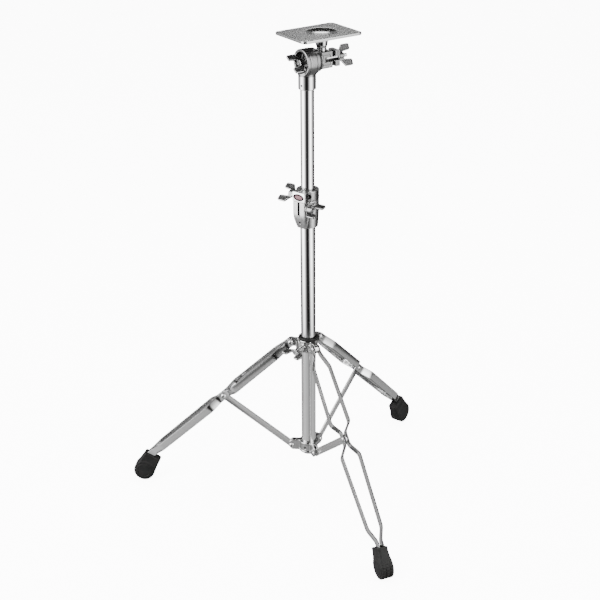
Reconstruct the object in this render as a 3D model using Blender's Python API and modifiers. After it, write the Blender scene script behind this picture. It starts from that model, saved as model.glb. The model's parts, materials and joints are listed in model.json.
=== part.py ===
"""Double-braced tripod stand with a brake tilter and a flat mounting plate.

Frame: metres, +Z up, origin on the floor at the middle of the tripod, front leg along -Y.
Every length below is written in millimetres times MM.
"""
import math

import bmesh
import bpy
from mathutils import Matrix, Vector

MM = 0.001
GAP = 0.3 * MM                     # clearance left between touching pieces
TAU = 2 * math.pi

# Tubes
LOWER_TUBE_RADIUS = 14.3 * MM
LOWER_TUBE_BORE = 13.1 * MM
LOWER_TUBE_BOTTOM = 86 * MM
LOWER_TUBE_TOP = 600 * MM
UPPER_TUBE_RADIUS = 12.7 * MM
UPPER_TUBE_BORE = 11.2 * MM
UPPER_TUBE_BOTTOM = 325 * MM
UPPER_TUBE_TOP = 861 * MM

# Tripod linkage, in the vertical plane of a leg: distance from the tube's axis, and height
LEG_NAMES = {"front": -90, "right": 30, "left": 150}
PIVOT_REACH = 33.9 * MM
UPPER_PIVOT_HEIGHT = 327.9 * MM
LOWER_PIVOT_HEIGHT = 97.4 * MM
LEG_TO_JOINT = 186.0 * MM
BRACE_LENGTH = 171.4 * MM
PIVOT_SPAN = UPPER_PIVOT_HEIGHT - LOWER_PIVOT_HEIGHT
LEG_FROM_VERTICAL = math.acos(
    (PIVOT_SPAN**2 + LEG_TO_JOINT**2 - BRACE_LENGTH**2) / (2 * PIVOT_SPAN * LEG_TO_JOINT))
BRACE_FROM_VERTICAL = math.acos(
    (PIVOT_SPAN**2 + BRACE_LENGTH**2 - LEG_TO_JOINT**2) / (2 * PIVOT_SPAN * BRACE_LENGTH))
LEG_SLOPE = math.pi / 2 - LEG_FROM_VERTICAL
BRACE_SLOPE = math.pi / 2 - BRACE_FROM_VERTICAL

# Leg strips and braces
STRIP_WIDTH = 15.8 * MM
STRIP_THICKNESS = 2.6 * MM
STRIP_LENGTH = 404 * MM            # from the upper pivot to the end inside the foot
LUG_HALF = 4.0 * MM                # half thickness of a collar lug
LUG_OFFSET = LUG_HALF + GAP + STRIP_THICKNESS / 2
BRACE_THICKNESS = 3.0 * MM
JOINT_OFFSET = 4.1 * MM            # strip centre from the leg plane at the brace joint
NECK_OFFSET = 4.4 * MM             # and inside the foot
BRACE_HALF_WIDTH = 7.25 * MM
BRACE_EYE_RADIUS = 8.0 * MM
PIN_RADIUS = 3.0 * MM
PIN_HEAD_RADIUS = 4.8 * MM
PIN_HEAD_HEIGHT = 1.6 * MM
OPEN_JOINT_PLAY = 2.1 * MM         # extra hole radius where a side brace meets its leg

# Feet
FOOT_RADIUS = 21.3 * MM
FOOT_WIDTH = 26 * MM
FOOT_REACH = 340 * MM
FOOT_BEND = math.radians(17.5)     # how much steeper the foot stands than its leg
NECK_LENGTH = 38 * MM
NECK_HALF_WIDTH = 17.5 * MM
NECK_HALF_DEPTH = 9.5 * MM

# The origin is on the floor in the middle of the footprint
FOOTPRINT_CENTRE = 85.3 * MM       # from the tube's axis towards the front foot

# Leg bracket at the foot of the tube
BRACKET_BOTTOM = 88.0 * MM
BRACKET_HEIGHT = 22.5 * MM
BRACKET_RADIUS = 19.0 * MM
BRACKET_BORE = LOWER_TUBE_RADIUS + GAP
EAR_REACH = 38.5 * MM
EAR_INNER = 2.1 * MM
EAR_OUTER = 5.4 * MM
EAR_SLOT_REACH = 25.6 * MM
BRACKET_SCREW_ANGLE = math.radians(-140)

# Sliding collar that the legs hang from
COLLAR_BOTTOM = 313 * MM
COLLAR_TOP = 337 * MM
COLLAR_RADIUS = 19.3 * MM
COLLAR_BORE = 15.8 * MM
LUG_END_RADIUS = 8.4 * MM
COLLAR_BOSS_END = 30 * MM          # face of the boss that takes the wing screw
RING_HEIGHT = 4.4 * MM
CLAMP_ANGLE = math.radians(-150)   # the clamps' ears and the collar screw point this way

# Height clamp on top of the lower tube, and the memory lock above it
CLAMP_BOTTOM = 571.5 * MM
CLAMP_TOP = 625.0 * MM
CLAMP_REACH = 28.5 * MM
CLAMP_HALF_WIDTH = 13.3 * MM
CLAMP_BOLT_REACH = 22.0 * MM
CLAMP_BOLT_HEIGHT = 613.5 * MM
CLAMP_SLOT_BOTTOM = 598.5 * MM
CLAMP_SLOT_WIDTH = 4.4 * MM
BUSHING_BOTTOM = 602 * MM
BUSHING_RADIUS = 16.0 * MM
SLIDE_BORE = UPPER_TUBE_RADIUS + GAP
LOCK_BOTTOM = 625.4 * MM
LOCK_TOP = 644.6 * MM
LOCK_RADIUS = 21.5 * MM
LOCK_REACH = 27.5 * MM
LOCK_HALF_WIDTH = 14.5 * MM
LOCK_BOLT_REACH = 17.3 * MM
LOCK_SLOT_WIDTH = 3.6 * MM
BOLT_RADIUS = 3.0 * MM

# Tilter: its axis is level and crosses the tube's axis
TILTER_ANGLE = math.radians(10.75)
TILTER_HEIGHT = 883.5 * MM
SLEEVE_BOTTOM = 834 * MM
SLEEVE_RADIUS = 16.2 * MM
DRUM_RADIUS = 24.5 * MM
DRUM_START = -13.5 * MM             # along the tilter axis, from the tube's axis
DRUM_END = 17 * MM
CUP_RADIUS = 19.4 * MM
CUP_DEPTH = 15 * MM
BRAKE_BOLT_RADIUS = 4.0 * MM
DISC_START = DRUM_END + GAP
DISC_END = 19.2 * MM
JAW_START = DISC_END + GAP
JAW_FLANGE_END = 22.3 * MM
BRAKE_BOLT_END = 22.1 * MM
JAW_END = 47.6 * MM
JAW_HALF_HEIGHT = 15.2 * MM
JAW_HALF_WIDTH = 13.0 * MM
SHOE_START = 53.9 * MM
SHOE_END = 64.5 * MM
EYE_BOLT_END = 86.0 * MM
STEM_REACH = 31.6 * MM             # stem axis, along the tilter axis
ROD_RADIUS = 6.35 * MM
STEM_WAIST = 8.9 * MM              # clears the jaw's flange
EYE_RADIUS = 8.7 * MM
EYE_HALF_HEIGHT = 3.5 * MM

# Mounting plate and its stem
PLATE_TOP = 934 * MM
PLATE_LENGTH = 127.7 * MM
PLATE_WIDTH = 96.9 * MM
PLATE_THICKNESS = 5.2 * MM
PLATE_CORNER = 9.5 * MM
PLATE_CENTRE = 24.8 * MM           # along the tilter axis, from the tube's axis
PLATE_HOLE_X = 54.5 * MM
PLATE_HOLE_Y = 41.5 * MM
PLATE_HOLE_RADIUS = 3.0 * MM
DISH_RADIUS = 29 * MM
DISH_DEPTH = 5.6 * MM
BOSS_BOTTOM = 923.5 * MM

# Wing screws
WING_HUB_RADIUS = 6.6 * MM
WING_HUB_HEIGHT = 14.0 * MM
WING_ROOT_LOW = 4.0 * MM           # up the hub
WING_PADDLE_LOW = 13.0 * MM        # paddle's span along the screw
WING_PADDLE_HIGH = 31.0 * MM
WING_PADDLE_INNER = 8.0 * MM       # paddle's span out from the screw
WING_TIP_RADIUS = 20.5 * MM
WING_CORNER = 3.2 * MM
WING_THICKNESS = 3.4 * MM

# How far each wing screw is turned at rest, from its blades lying level
BRAKE_BOLT_SPIN = math.radians(143)
JAW_NUT_SPIN = math.radians(65)
LOCK_NUT_SPIN = math.radians(144)
CLAMP_BOLT_SPIN = math.radians(19)
COLLAR_SCREW_SPIN = math.radians(172)

FACETS = 24                        # sides of a tube-sized circle
SMALL_FACETS = 12                  # sides of a pin-sized circle


# ---------------------------------------------------------------- scene and materials

def clear_scene():
    for obj in list(bpy.data.objects):
        bpy.data.objects.remove(obj, do_unlink=True)


def new_collection(name):
    group = bpy.data.collections.new(name)
    bpy.context.scene.collection.children.link(group)
    return group


def new_material(name, colour, metallic, roughness):
    material = bpy.data.materials.new(name)
    material.use_nodes = True
    shader = material.node_tree.nodes["Principled BSDF"]
    shader.inputs["Base Color"].default_value = (*colour, 1)
    shader.inputs["Metallic"].default_value = metallic
    shader.inputs["Roughness"].default_value = roughness
    return material


clear_scene()
PARTS = new_collection("tripod_stand")
CUTTERS = new_collection("cutters")

FINISHES = {
    "chrome": ((0.80, 0.81, 0.82), 1.0, 0.08),
    "chrome_casting": ((0.62, 0.63, 0.64), 1.0, 0.28),
    "satin_steel": ((0.52, 0.53, 0.54), 1.0, 0.38),
    "black_rubber": ((0.015, 0.015, 0.016), 0.0, 0.7),
    "black_nylon": ((0.02, 0.02, 0.022), 0.0, 0.45),
    "dark_steel": ((0.06, 0.06, 0.065), 1.0, 0.4),
}


# ---------------------------------------------------------------- shape helpers

def add_part(name, mesh, finish, parent=None, location=(0, 0, 0), rotation=(0, 0, 0)):
    """Put a mesh in the model as one named piece with its own material."""
    obj = bpy.data.objects.new(name, mesh)
    PARTS.objects.link(obj)
    obj.parent = parent
    obj.location = location
    obj.rotation_euler = rotation
    mesh.materials.clear()
    mesh.materials.append(new_material(name + "_" + finish, *FINISHES[finish]))
    mesh.shade_smooth()
    mesh.set_sharp_from_angle(angle=math.radians(35))
    return obj


def add_guide(name, mesh, parent=None, location=(0, 0, 0), rotation=(0, 0, 0)):
    """Put a mesh in the cutters' collection, for a Boolean to use."""
    obj = bpy.data.objects.new(name, mesh)
    CUTTERS.objects.link(obj)
    obj.parent = parent
    obj.location = location
    obj.rotation_euler = rotation
    obj.hide_render = True
    obj.display_type = "WIRE"
    return obj


def facing(azimuth, spin):
    """Rotation with local Z level along an azimuth, and local X turned by spin from level."""
    axis = polar(azimuth, 1)
    level = polar(azimuth + TAU / 4, 1)
    across_axis = level * math.cos(spin) + Vector((0, 0, math.sin(spin)))
    return Matrix((across_axis, axis.cross(across_axis), axis)).transposed().to_euler()


def spot_face(name, side, location, parent):
    """Cutter that clears a seat for a wing's hub on the flank at location, facing along side."""
    depth = 12 * MM
    seat = Vector(location) + Vector((0, side * depth / 2, 0))
    return add_guide(name, cylinder_mesh(name, WING_HUB_RADIUS + 1 * MM, depth), parent=parent,
                     location=seat, rotation=across())


def add_axis(name, location, rotation, parent=None):
    """Empty on a joint's axis, which the moving pieces hang from."""
    axis = bpy.data.objects.new(name, None)
    PARTS.objects.link(axis)
    axis.parent = parent
    axis.location = location
    axis.rotation_euler = rotation
    return axis


def combine(obj, tool, operation):
    modifier = obj.modifiers.new(operation.title() + "_" + tool.name, "BOOLEAN")
    modifier.operation = operation
    modifier.solver = "EXACT"
    modifier.object = tool


def cut(obj, *tools):
    for tool in tools:
        combine(obj, tool, "DIFFERENCE")


def join(obj, *tools):
    for tool in tools:
        combine(obj, tool, "UNION")


def weld(mesh):
    work = bmesh.new()
    work.from_mesh(mesh)
    bmesh.ops.remove_doubles(work, verts=work.verts, dist=0.001 * MM)
    bmesh.ops.recalc_face_normals(work, faces=work.faces)
    work.to_mesh(mesh)
    work.free()


def flat_mesh(name, loops, thickness):
    """Solid plate: the first loop is its outline, the others are holes. Level with XY."""
    curve = bpy.data.curves.new(name, "CURVE")
    curve.dimensions = "2D"
    curve.fill_mode = "BOTH"
    curve.extrude = thickness / 2
    for loop in loops:
        spline = curve.splines.new("POLY")
        spline.points.add(len(loop) - 1)
        for point, (x, y) in zip(spline.points, loop):
            point.co = (x, y, 0, 1)
        spline.use_cyclic_u = True
    holder = bpy.data.objects.new(name + "_outline", curve)
    bpy.context.scene.collection.objects.link(holder)
    bpy.context.view_layer.update()
    graph = bpy.context.evaluated_depsgraph_get()
    mesh = bpy.data.meshes.new_from_object(holder.evaluated_get(graph))
    mesh.name = name
    bpy.data.objects.remove(holder, do_unlink=True)
    bpy.data.curves.remove(curve)
    weld(mesh)
    return mesh


def cylinder_mesh(name, radius, depth, facets=SMALL_FACETS):
    work = bmesh.new()
    bmesh.ops.create_cone(work, cap_ends=True, segments=facets,
                          radius1=radius, radius2=radius, depth=depth)
    mesh = bpy.data.meshes.new(name)
    work.to_mesh(mesh)
    work.free()
    return mesh


def box_mesh(name, low, high):
    """Box between two corners."""
    work = bmesh.new()
    bmesh.ops.create_cube(work, size=1)
    size = Vector(high) - Vector(low)
    centre = (Vector(high) + Vector(low)) / 2
    bmesh.ops.scale(work, vec=size, verts=work.verts)
    bmesh.ops.translate(work, vec=centre, verts=work.verts)
    mesh = bpy.data.meshes.new(name)
    work.to_mesh(mesh)
    work.free()
    return mesh


def profile_mesh(name, profile, closed):
    """Edges of a half section (radius, height), for the Screw modifier to turn."""
    points = [(radius, 0, height) for radius, height in profile]
    edges = [(i, i + 1) for i in range(len(points) - 1)]
    if closed:
        edges.append((len(points) - 1, 0))
    mesh = bpy.data.meshes.new(name)
    mesh.from_pydata(points, edges, [])
    return mesh


def turn(obj, facets):
    screw = obj.modifiers.new("Turn", "SCREW")
    screw.axis = "Z"
    screw.angle = TAU
    screw.steps = facets
    screw.render_steps = facets
    screw.use_merge_vertices = True
    screw.merge_threshold = 0.002 * MM
    screw.use_smooth_shade = True


def turned_part(name, profile, finish, facets=FACETS, closed=True, **place):
    """Ring (closed section) or solid of revolution (open section from axis to axis)."""
    obj = add_part(name, profile_mesh(name, profile, closed), finish, **place)
    turn(obj, facets)
    return obj


def turned_guide(name, profile, facets=FACETS, closed=True, **place):
    obj = add_guide(name, profile_mesh(name, profile, closed), **place)
    turn(obj, facets)
    return obj


def ring_profile(outer, inner, low, high, chamfer=0.0):
    """Half section of a ring, with its outer corners cut off where a chamfer is given."""
    if not chamfer:
        return [(inner, high), (outer, high), (outer, low), (inner, low)]
    return [(inner, high), (outer - chamfer, high), (outer, high - chamfer),
            (outer, low + chamfer), (outer - chamfer, low), (inner, low)]


def arc(centre, radius, start, end, steps):
    """Points on an arc, both ends included; angles in radians."""
    points = []
    for i in range(steps + 1):
        angle = start + (end - start) * i / steps
        points.append((centre[0] + radius * math.cos(angle), centre[1] + radius * math.sin(angle)))
    return points


def circle(centre, radius, steps=SMALL_FACETS):
    return arc(centre, radius, 0, TAU, steps)[:-1]


def rounded_rectangle(half_x, half_y, corner, steps=4):
    points = []
    for quarter, (sx, sy) in enumerate(((1, 1), (-1, 1), (-1, -1), (1, -1))):
        centre = (sx * (half_x - corner), sy * (half_y - corner))
        points += arc(centre, corner, quarter * TAU / 4, (quarter + 1) * TAU / 4, steps)
    return points


def polar(angle, reach, height=0.0):
    return Vector((reach * math.cos(angle), reach * math.sin(angle), height))


# ---------------------------------------------------------------- pins, screws and wings

def rivet(name, half_length, finish="chrome", **place):
    """Round-headed pin along its own Z, heads outside plus and minus half_length."""
    top = half_length + PIN_HEAD_HEIGHT
    crown = PIN_HEAD_RADIUS * 0.72
    profile = [(0, top), (crown, top), (PIN_HEAD_RADIUS, half_length), (PIN_RADIUS, half_length),
               (PIN_RADIUS, -half_length), (PIN_HEAD_RADIUS, -half_length), (crown, -top), (0, -top)]
    return turned_part(name, profile, finish, facets=SMALL_FACETS, closed=False, **place)


def blade_mesh(name):
    """One wing blade, lying in its own XY plane: X grows out from the screw, Y along it."""
    outline = [(1 * MM, WING_ROOT_LOW), (WING_HUB_RADIUS, WING_ROOT_LOW)]
    outline += arc((WING_TIP_RADIUS - 3.5 * MM, WING_PADDLE_LOW + 2 * MM), 2.6 * MM, -TAU / 7, 0, 3)
    outer = (WING_TIP_RADIUS - WING_CORNER, WING_PADDLE_HIGH - WING_CORNER)
    outline += arc(outer, WING_CORNER, 0, TAU / 4, 3)
    inner = (WING_PADDLE_INNER + WING_CORNER, WING_PADDLE_HIGH - WING_CORNER)
    outline += arc(inner, WING_CORNER, TAU / 4, TAU / 2, 3)
    outline += [(WING_PADDLE_INNER - 1.5 * MM, WING_HUB_HEIGHT - 1 * MM), (1 * MM, WING_HUB_HEIGHT - 2 * MM)]
    return flat_mesh(name, [outline], WING_THICKNESS)


def wing(name, shank_radius, shank_length, bore_radius, parent, location, rotation):
    """Wing screw or wing nut. Its own Z points out of the clamp; the hub's face is at Z = 0."""
    hub = [(0, WING_HUB_HEIGHT), (WING_HUB_RADIUS * 0.8, WING_HUB_HEIGHT),
           (WING_HUB_RADIUS * 0.9, WING_HUB_HEIGHT * 0.85), (WING_HUB_RADIUS, 2.4 * MM),
           (WING_HUB_RADIUS, 0)]
    if shank_length:
        hub += [(shank_radius, 0), (shank_radius, 1 * MM - shank_length),
                (shank_radius - 1 * MM, -shank_length), (0, -shank_length)]
    else:
        hub.append((0, 0))
    obj = turned_part(name, hub, "chrome", facets=SMALL_FACETS, closed=False,
                      parent=parent, location=location, rotation=rotation)
    for side, turn_z in (("a", 0), ("b", math.pi)):
        mesh = blade_mesh(name + "_blade_" + side)
        mesh.transform(Matrix.Rotation(turn_z, 4, "Z") @ Matrix.Rotation(TAU / 4, 4, "X"))
        blade = add_guide(name + "_blade_" + side, mesh, parent=obj)
        join(obj, blade)
    if bore_radius:
        bore = cylinder_mesh(name + "_bore", bore_radius, 60 * MM)
        cut(obj, add_guide(name + "_bore", bore, parent=obj))
    return obj


def grub_screw(name, radius, length, finish, **place):
    """Headless screw along its own Z, with a round socket in its top."""
    socket = radius * 0.5
    profile = [(0, length / 2 - 1.2 * MM), (socket, length / 2 - 1.2 * MM), (socket, length / 2),
               (radius, length / 2), (radius, -length / 2), (0, -length / 2)]
    return turned_part(name, profile, finish, facets=SMALL_FACETS, closed=False, **place)


# ---------------------------------------------------------------- tubes

def make_tubes(plug_axis, mast_axis):
    turned_part("lower_tube", ring_profile(LOWER_TUBE_RADIUS, LOWER_TUBE_BORE,
                                           LOWER_TUBE_BOTTOM, LOWER_TUBE_TOP), "chrome")
    flange = LOWER_TUBE_BOTTOM - GAP
    turned_part("tube_end_plug", [
        (0, LOWER_TUBE_BOTTOM + 12 * MM), (LOWER_TUBE_BORE - GAP, LOWER_TUBE_BOTTOM + 12 * MM),
        (LOWER_TUBE_BORE - GAP, flange), (LOWER_TUBE_RADIUS, flange),
        (LOWER_TUBE_RADIUS - 1 * MM, flange - 2.5 * MM), (0, flange - 2.5 * MM)],
        "black_nylon", closed=False)
    low = UPPER_TUBE_BOTTOM
    turned_part("upper_tube", ring_profile(UPPER_TUBE_RADIUS, UPPER_TUBE_BORE, low, UPPER_TUBE_TOP),
                "chrome", parent=mast_axis)
    turned_part("upper_tube_plug", [
        (0, low + 14 * MM), (UPPER_TUBE_BORE - GAP, low + 14 * MM), (UPPER_TUBE_BORE - GAP, low - GAP),
        (UPPER_TUBE_RADIUS, low - GAP), (UPPER_TUBE_RADIUS, low - 3 * MM), (0, low - 3 * MM)],
        "black_nylon", closed=False, parent=plug_axis)


# ---------------------------------------------------------------- tripod

def bend_points(path, radius, steps=1):
    """Replace each inner corner of a path with a short arc's points."""
    points = [path[0]]
    for before, corner, after in zip(path, path[1:], path[2:]):
        here = Vector(corner)
        to_before = (Vector(before) - here).normalized()
        to_after = (Vector(after) - here).normalized()
        half_angle = to_before.angle(to_after) / 2
        trim = radius / math.tan(half_angle)
        start = here + to_before * trim
        end = here + to_after * trim
        for i in range(steps + 1):
            share = i / steps
            first = start.lerp(here, share)
            second = here.lerp(end, share)
            points.append(tuple(first.lerp(second, share)))
    points.append(path[-1])
    return points


def band_outline(path, thickness):
    """Outline of a strip of even thickness that follows a path."""
    left = []
    right = []
    for i, point in enumerate(path):
        before = Vector(path[max(i - 1, 0)])
        after = Vector(path[min(i + 1, len(path) - 1)])
        along_in = (Vector(point) - before).normalized() if i else (after - before).normalized()
        along_out = (after - Vector(point)).normalized() if i < len(path) - 1 else along_in
        along = (along_in + along_out).normalized()
        mitre = thickness / 2 / max(along.dot(along_in), 0.5)
        side = Vector((-along.y, along.x)) * mitre
        left.append(tuple(Vector(point) + side))
        right.append(tuple(Vector(point) - side))
    return left + right[::-1]


def strip_path(side):
    """Centre line of a leg strip: distance down the leg, and offset from the leg's plane."""
    joint = LEG_TO_JOINT
    corners = [(-8.0 * MM, LUG_OFFSET), (11 * MM, LUG_OFFSET), (40 * MM, 16.5 * MM),
               (joint - 31 * MM, 18.7 * MM), (joint - 12.5 * MM, JOINT_OFFSET),
               (joint + 13 * MM, JOINT_OFFSET), (joint + 34 * MM, 18.3 * MM),
               (363 * MM, 14.2 * MM), (387 * MM, NECK_OFFSET), (STRIP_LENGTH, NECK_OFFSET)]
    path = bend_points(corners, 7 * MM)
    return [(x, side * y) for x, y in path]


def make_strip(name, side, leg_axis, pivot_cutter, joint_cutter):
    outline = band_outline(strip_path(side), STRIP_THICKNESS)
    mesh = flat_mesh(name, [outline], STRIP_WIDTH)
    work = bmesh.new()
    work.from_mesh(mesh)
    end = min(vert.co.x for vert in work.verts)
    corners = [edge for edge in work.edges
               if all(abs(vert.co.x - end) < 0.01 * MM for vert in edge.verts)
               and abs(edge.verts[0].co.z - edge.verts[1].co.z) < 0.01 * MM]
    bmesh.ops.bevel(work, geom=corners, offset=4 * MM, segments=2, profile=0.5, affect="EDGES")
    work.to_mesh(mesh)
    work.free()
    strip = add_part(name, mesh, "chrome", parent=leg_axis)
    cut(strip, pivot_cutter, joint_cutter)


def neck_mesh(name):
    """Tapered block from the middle of the foot to its mouth."""
    work = bmesh.new()
    bmesh.ops.create_cube(work, size=2)
    for vert in work.verts:
        at_mouth = vert.co.x > 0
        vert.co.x = NECK_LENGTH if at_mouth else 0
        vert.co.y *= NECK_HALF_DEPTH if at_mouth else FOOT_WIDTH / 2 - 1 * MM
        vert.co.z *= NECK_HALF_WIDTH if at_mouth else FOOT_RADIUS - 0.8 * MM
    long_edges = [edge for edge in work.edges
                  if abs(edge.verts[0].co.x - edge.verts[1].co.x) > NECK_LENGTH / 2]
    bmesh.ops.bevel(work, geom=long_edges, offset=3.5 * MM, segments=2, profile=0.5, affect="EDGES")
    mesh = bpy.data.meshes.new(name)
    work.to_mesh(mesh)
    work.free()
    return mesh


def make_foot(name, leg_axis):
    """Rubber foot: an upright disc with a neck that takes the ends of the leg strips."""
    drop = UPPER_PIVOT_HEIGHT - FOOT_RADIUS
    out = FOOT_REACH - PIVOT_REACH
    along = out * math.cos(LEG_SLOPE) + drop * math.sin(LEG_SLOPE)
    below = out * math.sin(LEG_SLOPE) - drop * math.cos(LEG_SLOPE)
    centre = (along, 0, below)
    half = FOOT_WIDTH / 2
    edge = 3 * MM
    profile = [(0, half)] + arc((FOOT_RADIUS - edge, half - edge), edge, TAU / 4, 0, 2)
    profile += arc((FOOT_RADIUS - edge, edge - half), edge, 0, -TAU / 4, 2) + [(0, -half)]
    foot = turned_part(name, profile, "black_rubber", closed=False, parent=leg_axis,
                       location=centre, rotation=(math.pi / 2, 0, 0))
    neck = add_guide(name + "_neck", neck_mesh(name + "_neck"), parent=leg_axis,
                     location=centre, rotation=(0, math.pi + FOOT_BEND, 0))
    half_socket = NECK_OFFSET + STRIP_THICKNESS / 2 + GAP
    wide_socket = STRIP_WIDTH / 2 + GAP
    socket = box_mesh(name + "_socket", (370 * MM, -half_socket, -wide_socket),
                      (STRIP_LENGTH + GAP, half_socket, wide_socket))
    join(foot, neck)
    cut(foot, add_guide(name + "_socket", socket, parent=leg_axis))


def across(parent_angle=0.0):
    """Rotation that lays a turned piece's axis along its parent's Y."""
    return (-math.pi / 2, 0, parent_angle)


def make_leg(place, degrees):
    angle = math.radians(degrees)
    leg_axis = add_axis("leg_" + place + "_axis", polar(angle, PIVOT_REACH, UPPER_PIVOT_HEIGHT),
                        (0, LEG_SLOPE, angle))
    hole = PIN_RADIUS + GAP
    pivot_cutter = add_guide("leg_pivot_hole_" + place, cylinder_mesh("leg_pivot_hole", hole, 60 * MM),
                             parent=leg_axis, rotation=across())
    joint_cutter = add_guide("leg_joint_hole_" + place, cylinder_mesh("leg_joint_hole", hole, 60 * MM),
                             parent=leg_axis, location=(LEG_TO_JOINT, 0, 0), rotation=across())
    for hand, side in (("a", 1), ("b", -1)):
        make_strip("leg_strip_" + place + "_" + hand, side, leg_axis, pivot_cutter, joint_cutter)
    rivet("joint_rivet_" + place, JOINT_OFFSET + STRIP_THICKNESS / 2 + GAP,
          parent=leg_axis, location=(LEG_TO_JOINT, 0, 0), rotation=across())
    make_foot("foot_" + place, leg_axis)
    return pivot_cutter


def make_brace(place, degrees):
    angle = math.radians(degrees)
    brace_axis = add_axis("brace_" + place + "_axis", polar(angle, PIVOT_REACH, LOWER_PIVOT_HEIGHT),
                          (0, -BRACE_SLOPE, angle))
    play = 0 if place == "front" else OPEN_JOINT_PLAY
    outline = arc((0, 0), BRACE_HALF_WIDTH, TAU / 4, 3 * TAU / 4, 8)
    outline += [(BRACE_LENGTH - 16 * MM, -BRACE_HALF_WIDTH)]
    outline += arc((BRACE_LENGTH, 0), BRACE_EYE_RADIUS, -TAU / 4, TAU / 4, 10)
    outline += [(BRACE_LENGTH - 16 * MM, BRACE_HALF_WIDTH)]
    loops = [outline, circle((0, 0), PIN_RADIUS + GAP),
             circle((BRACE_LENGTH, 0), PIN_RADIUS + GAP + play)]
    mesh = flat_mesh("brace_" + place, loops, BRACE_THICKNESS)
    mesh.transform(Matrix.Rotation(math.pi / 2, 4, "X"))
    add_part("brace_" + place, mesh, "chrome", parent=brace_axis)


def bracket_outline():
    """Ring with a pair of ears for each brace, seen from above."""
    points = []
    base = math.asin(EAR_OUTER / BRACKET_RADIUS)
    angles = sorted(math.radians(degrees) for degrees in LEG_NAMES.values())
    for i, angle in enumerate(angles):
        following = angles[i + 1] if i + 1 < len(angles) else angles[0] + TAU
        ears = [(EAR_REACH, -EAR_OUTER), (EAR_REACH, -EAR_INNER), (EAR_SLOT_REACH, -EAR_INNER),
                (EAR_SLOT_REACH, EAR_INNER), (EAR_REACH, EAR_INNER), (EAR_REACH, EAR_OUTER)]
        for x, y in ears:
            spot = Matrix.Rotation(angle, 2) @ Vector((x, y))
            points.append((spot.x, spot.y))
        points += arc((0, 0), BRACKET_RADIUS, angle + base, following - base, 8)
    return points


def make_bracket():
    middle = BRACKET_BOTTOM + BRACKET_HEIGHT / 2
    loops = [bracket_outline(), circle((0, 0), BRACKET_BORE, FACETS)]
    bracket = add_part("leg_bracket", flat_mesh("leg_bracket", loops, BRACKET_HEIGHT),
                       "chrome_casting", location=(0, 0, middle))
    for place, degrees in LEG_NAMES.items():
        angle = math.radians(degrees)
        spot = polar(angle, PIVOT_REACH, LOWER_PIVOT_HEIGHT)
        hole = cylinder_mesh("bracket_pin_hole", PIN_RADIUS + GAP, 30 * MM)
        cut(bracket, add_guide("bracket_pin_hole_" + place, hole, location=spot, rotation=across(angle)))
        rivet("bracket_pin_" + place, EAR_OUTER + GAP, location=spot, rotation=across(angle))
    outward = (0, math.pi / 2, BRACKET_SCREW_ANGLE)
    hole = cylinder_mesh("bracket_screw_hole", 2.8 * MM, 8 * MM)
    cut(bracket, add_guide("bracket_screw_hole", hole, rotation=outward,
                           location=polar(BRACKET_SCREW_ANGLE, 17.5 * MM, middle)))
    grub_screw("bracket_screw", 2.5 * MM, 3.6 * MM, "dark_steel", rotation=outward,
               location=polar(BRACKET_SCREW_ANGLE, 16.6 * MM, middle))


def make_collar(pivot_cutters):
    """Collar that slides on the lower tube, with a lug for each leg."""
    collar = turned_part("leg_collar", ring_profile(COLLAR_RADIUS, COLLAR_BORE, COLLAR_BOTTOM,
                                                    COLLAR_TOP, 1.2 * MM), "chrome_casting")
    inner = 17.2 * MM
    for place, degrees in LEG_NAMES.items():
        angle = math.radians(degrees)
        outline = arc((PIVOT_REACH, 0), LUG_END_RADIUS, -TAU / 4, TAU / 4, 8)
        outline += [(inner, LUG_END_RADIUS), (inner, -LUG_END_RADIUS)]
        mesh = flat_mesh("collar_lug_" + place, [outline], 2 * LUG_HALF)
        mesh.transform(Matrix.Rotation(math.pi / 2, 4, "X"))
        lug = add_guide("collar_lug_" + place, mesh, location=(0, 0, UPPER_PIVOT_HEIGHT),
                        rotation=(0, 0, angle))
        join(collar, lug)
        cut(collar, pivot_cutters[place])
        rivet("leg_rivet_" + place, LUG_OFFSET + STRIP_THICKNESS / 2 + GAP,
              location=polar(angle, PIVOT_REACH, UPPER_PIVOT_HEIGHT), rotation=across(angle))
    height = 322 * MM
    outward = (0, math.pi / 2, CLAMP_ANGLE)
    boss_start = COLLAR_BORE + 1 * MM
    boss = cylinder_mesh("collar_boss", 6.5 * MM, COLLAR_BOSS_END - boss_start)
    join(collar, add_guide("collar_boss", boss, rotation=outward,
                           location=polar(CLAMP_ANGLE, (boss_start + COLLAR_BOSS_END) / 2, height)))
    bore = cylinder_mesh("collar_rebore", COLLAR_BORE, 40 * MM, FACETS)
    cut(collar, add_guide("collar_rebore", bore, location=(0, 0, height)))
    thread = cylinder_mesh("collar_thread", BOLT_RADIUS + GAP, 30 * MM)
    cut(collar, add_guide("collar_thread", thread, rotation=outward,
                          location=polar(CLAMP_ANGLE, 25 * MM, height)))
    face = COLLAR_BOSS_END + GAP
    screw_tip = LOWER_TUBE_RADIUS + 1.1 * MM
    turned_part("collar_ring", ring_profile(19.6 * MM, COLLAR_BORE + 0.2 * MM, COLLAR_TOP + GAP,
                                            COLLAR_TOP + GAP + RING_HEIGHT, 1.4 * MM), "black_rubber")
    wing("collar_wing_screw", BOLT_RADIUS, face - screw_tip, 0, None,
         polar(CLAMP_ANGLE, face, height), facing(CLAMP_ANGLE, COLLAR_SCREW_SPIN))


# ---------------------------------------------------------------- clamps on the tubes

def ear_section(radius, reach, half_width, corner=2 * MM):
    """Round body with one square ear along +X, seen from above."""
    meet = math.asin(min(half_width / radius, 0.95))
    points = arc((0, 0), radius, meet, TAU - meet, 20)
    points += arc((reach - corner, corner - half_width), corner, -TAU / 4, 0, 2)
    points += arc((reach - corner, half_width - corner), corner, 0, TAU / 4, 2)
    return points


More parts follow.
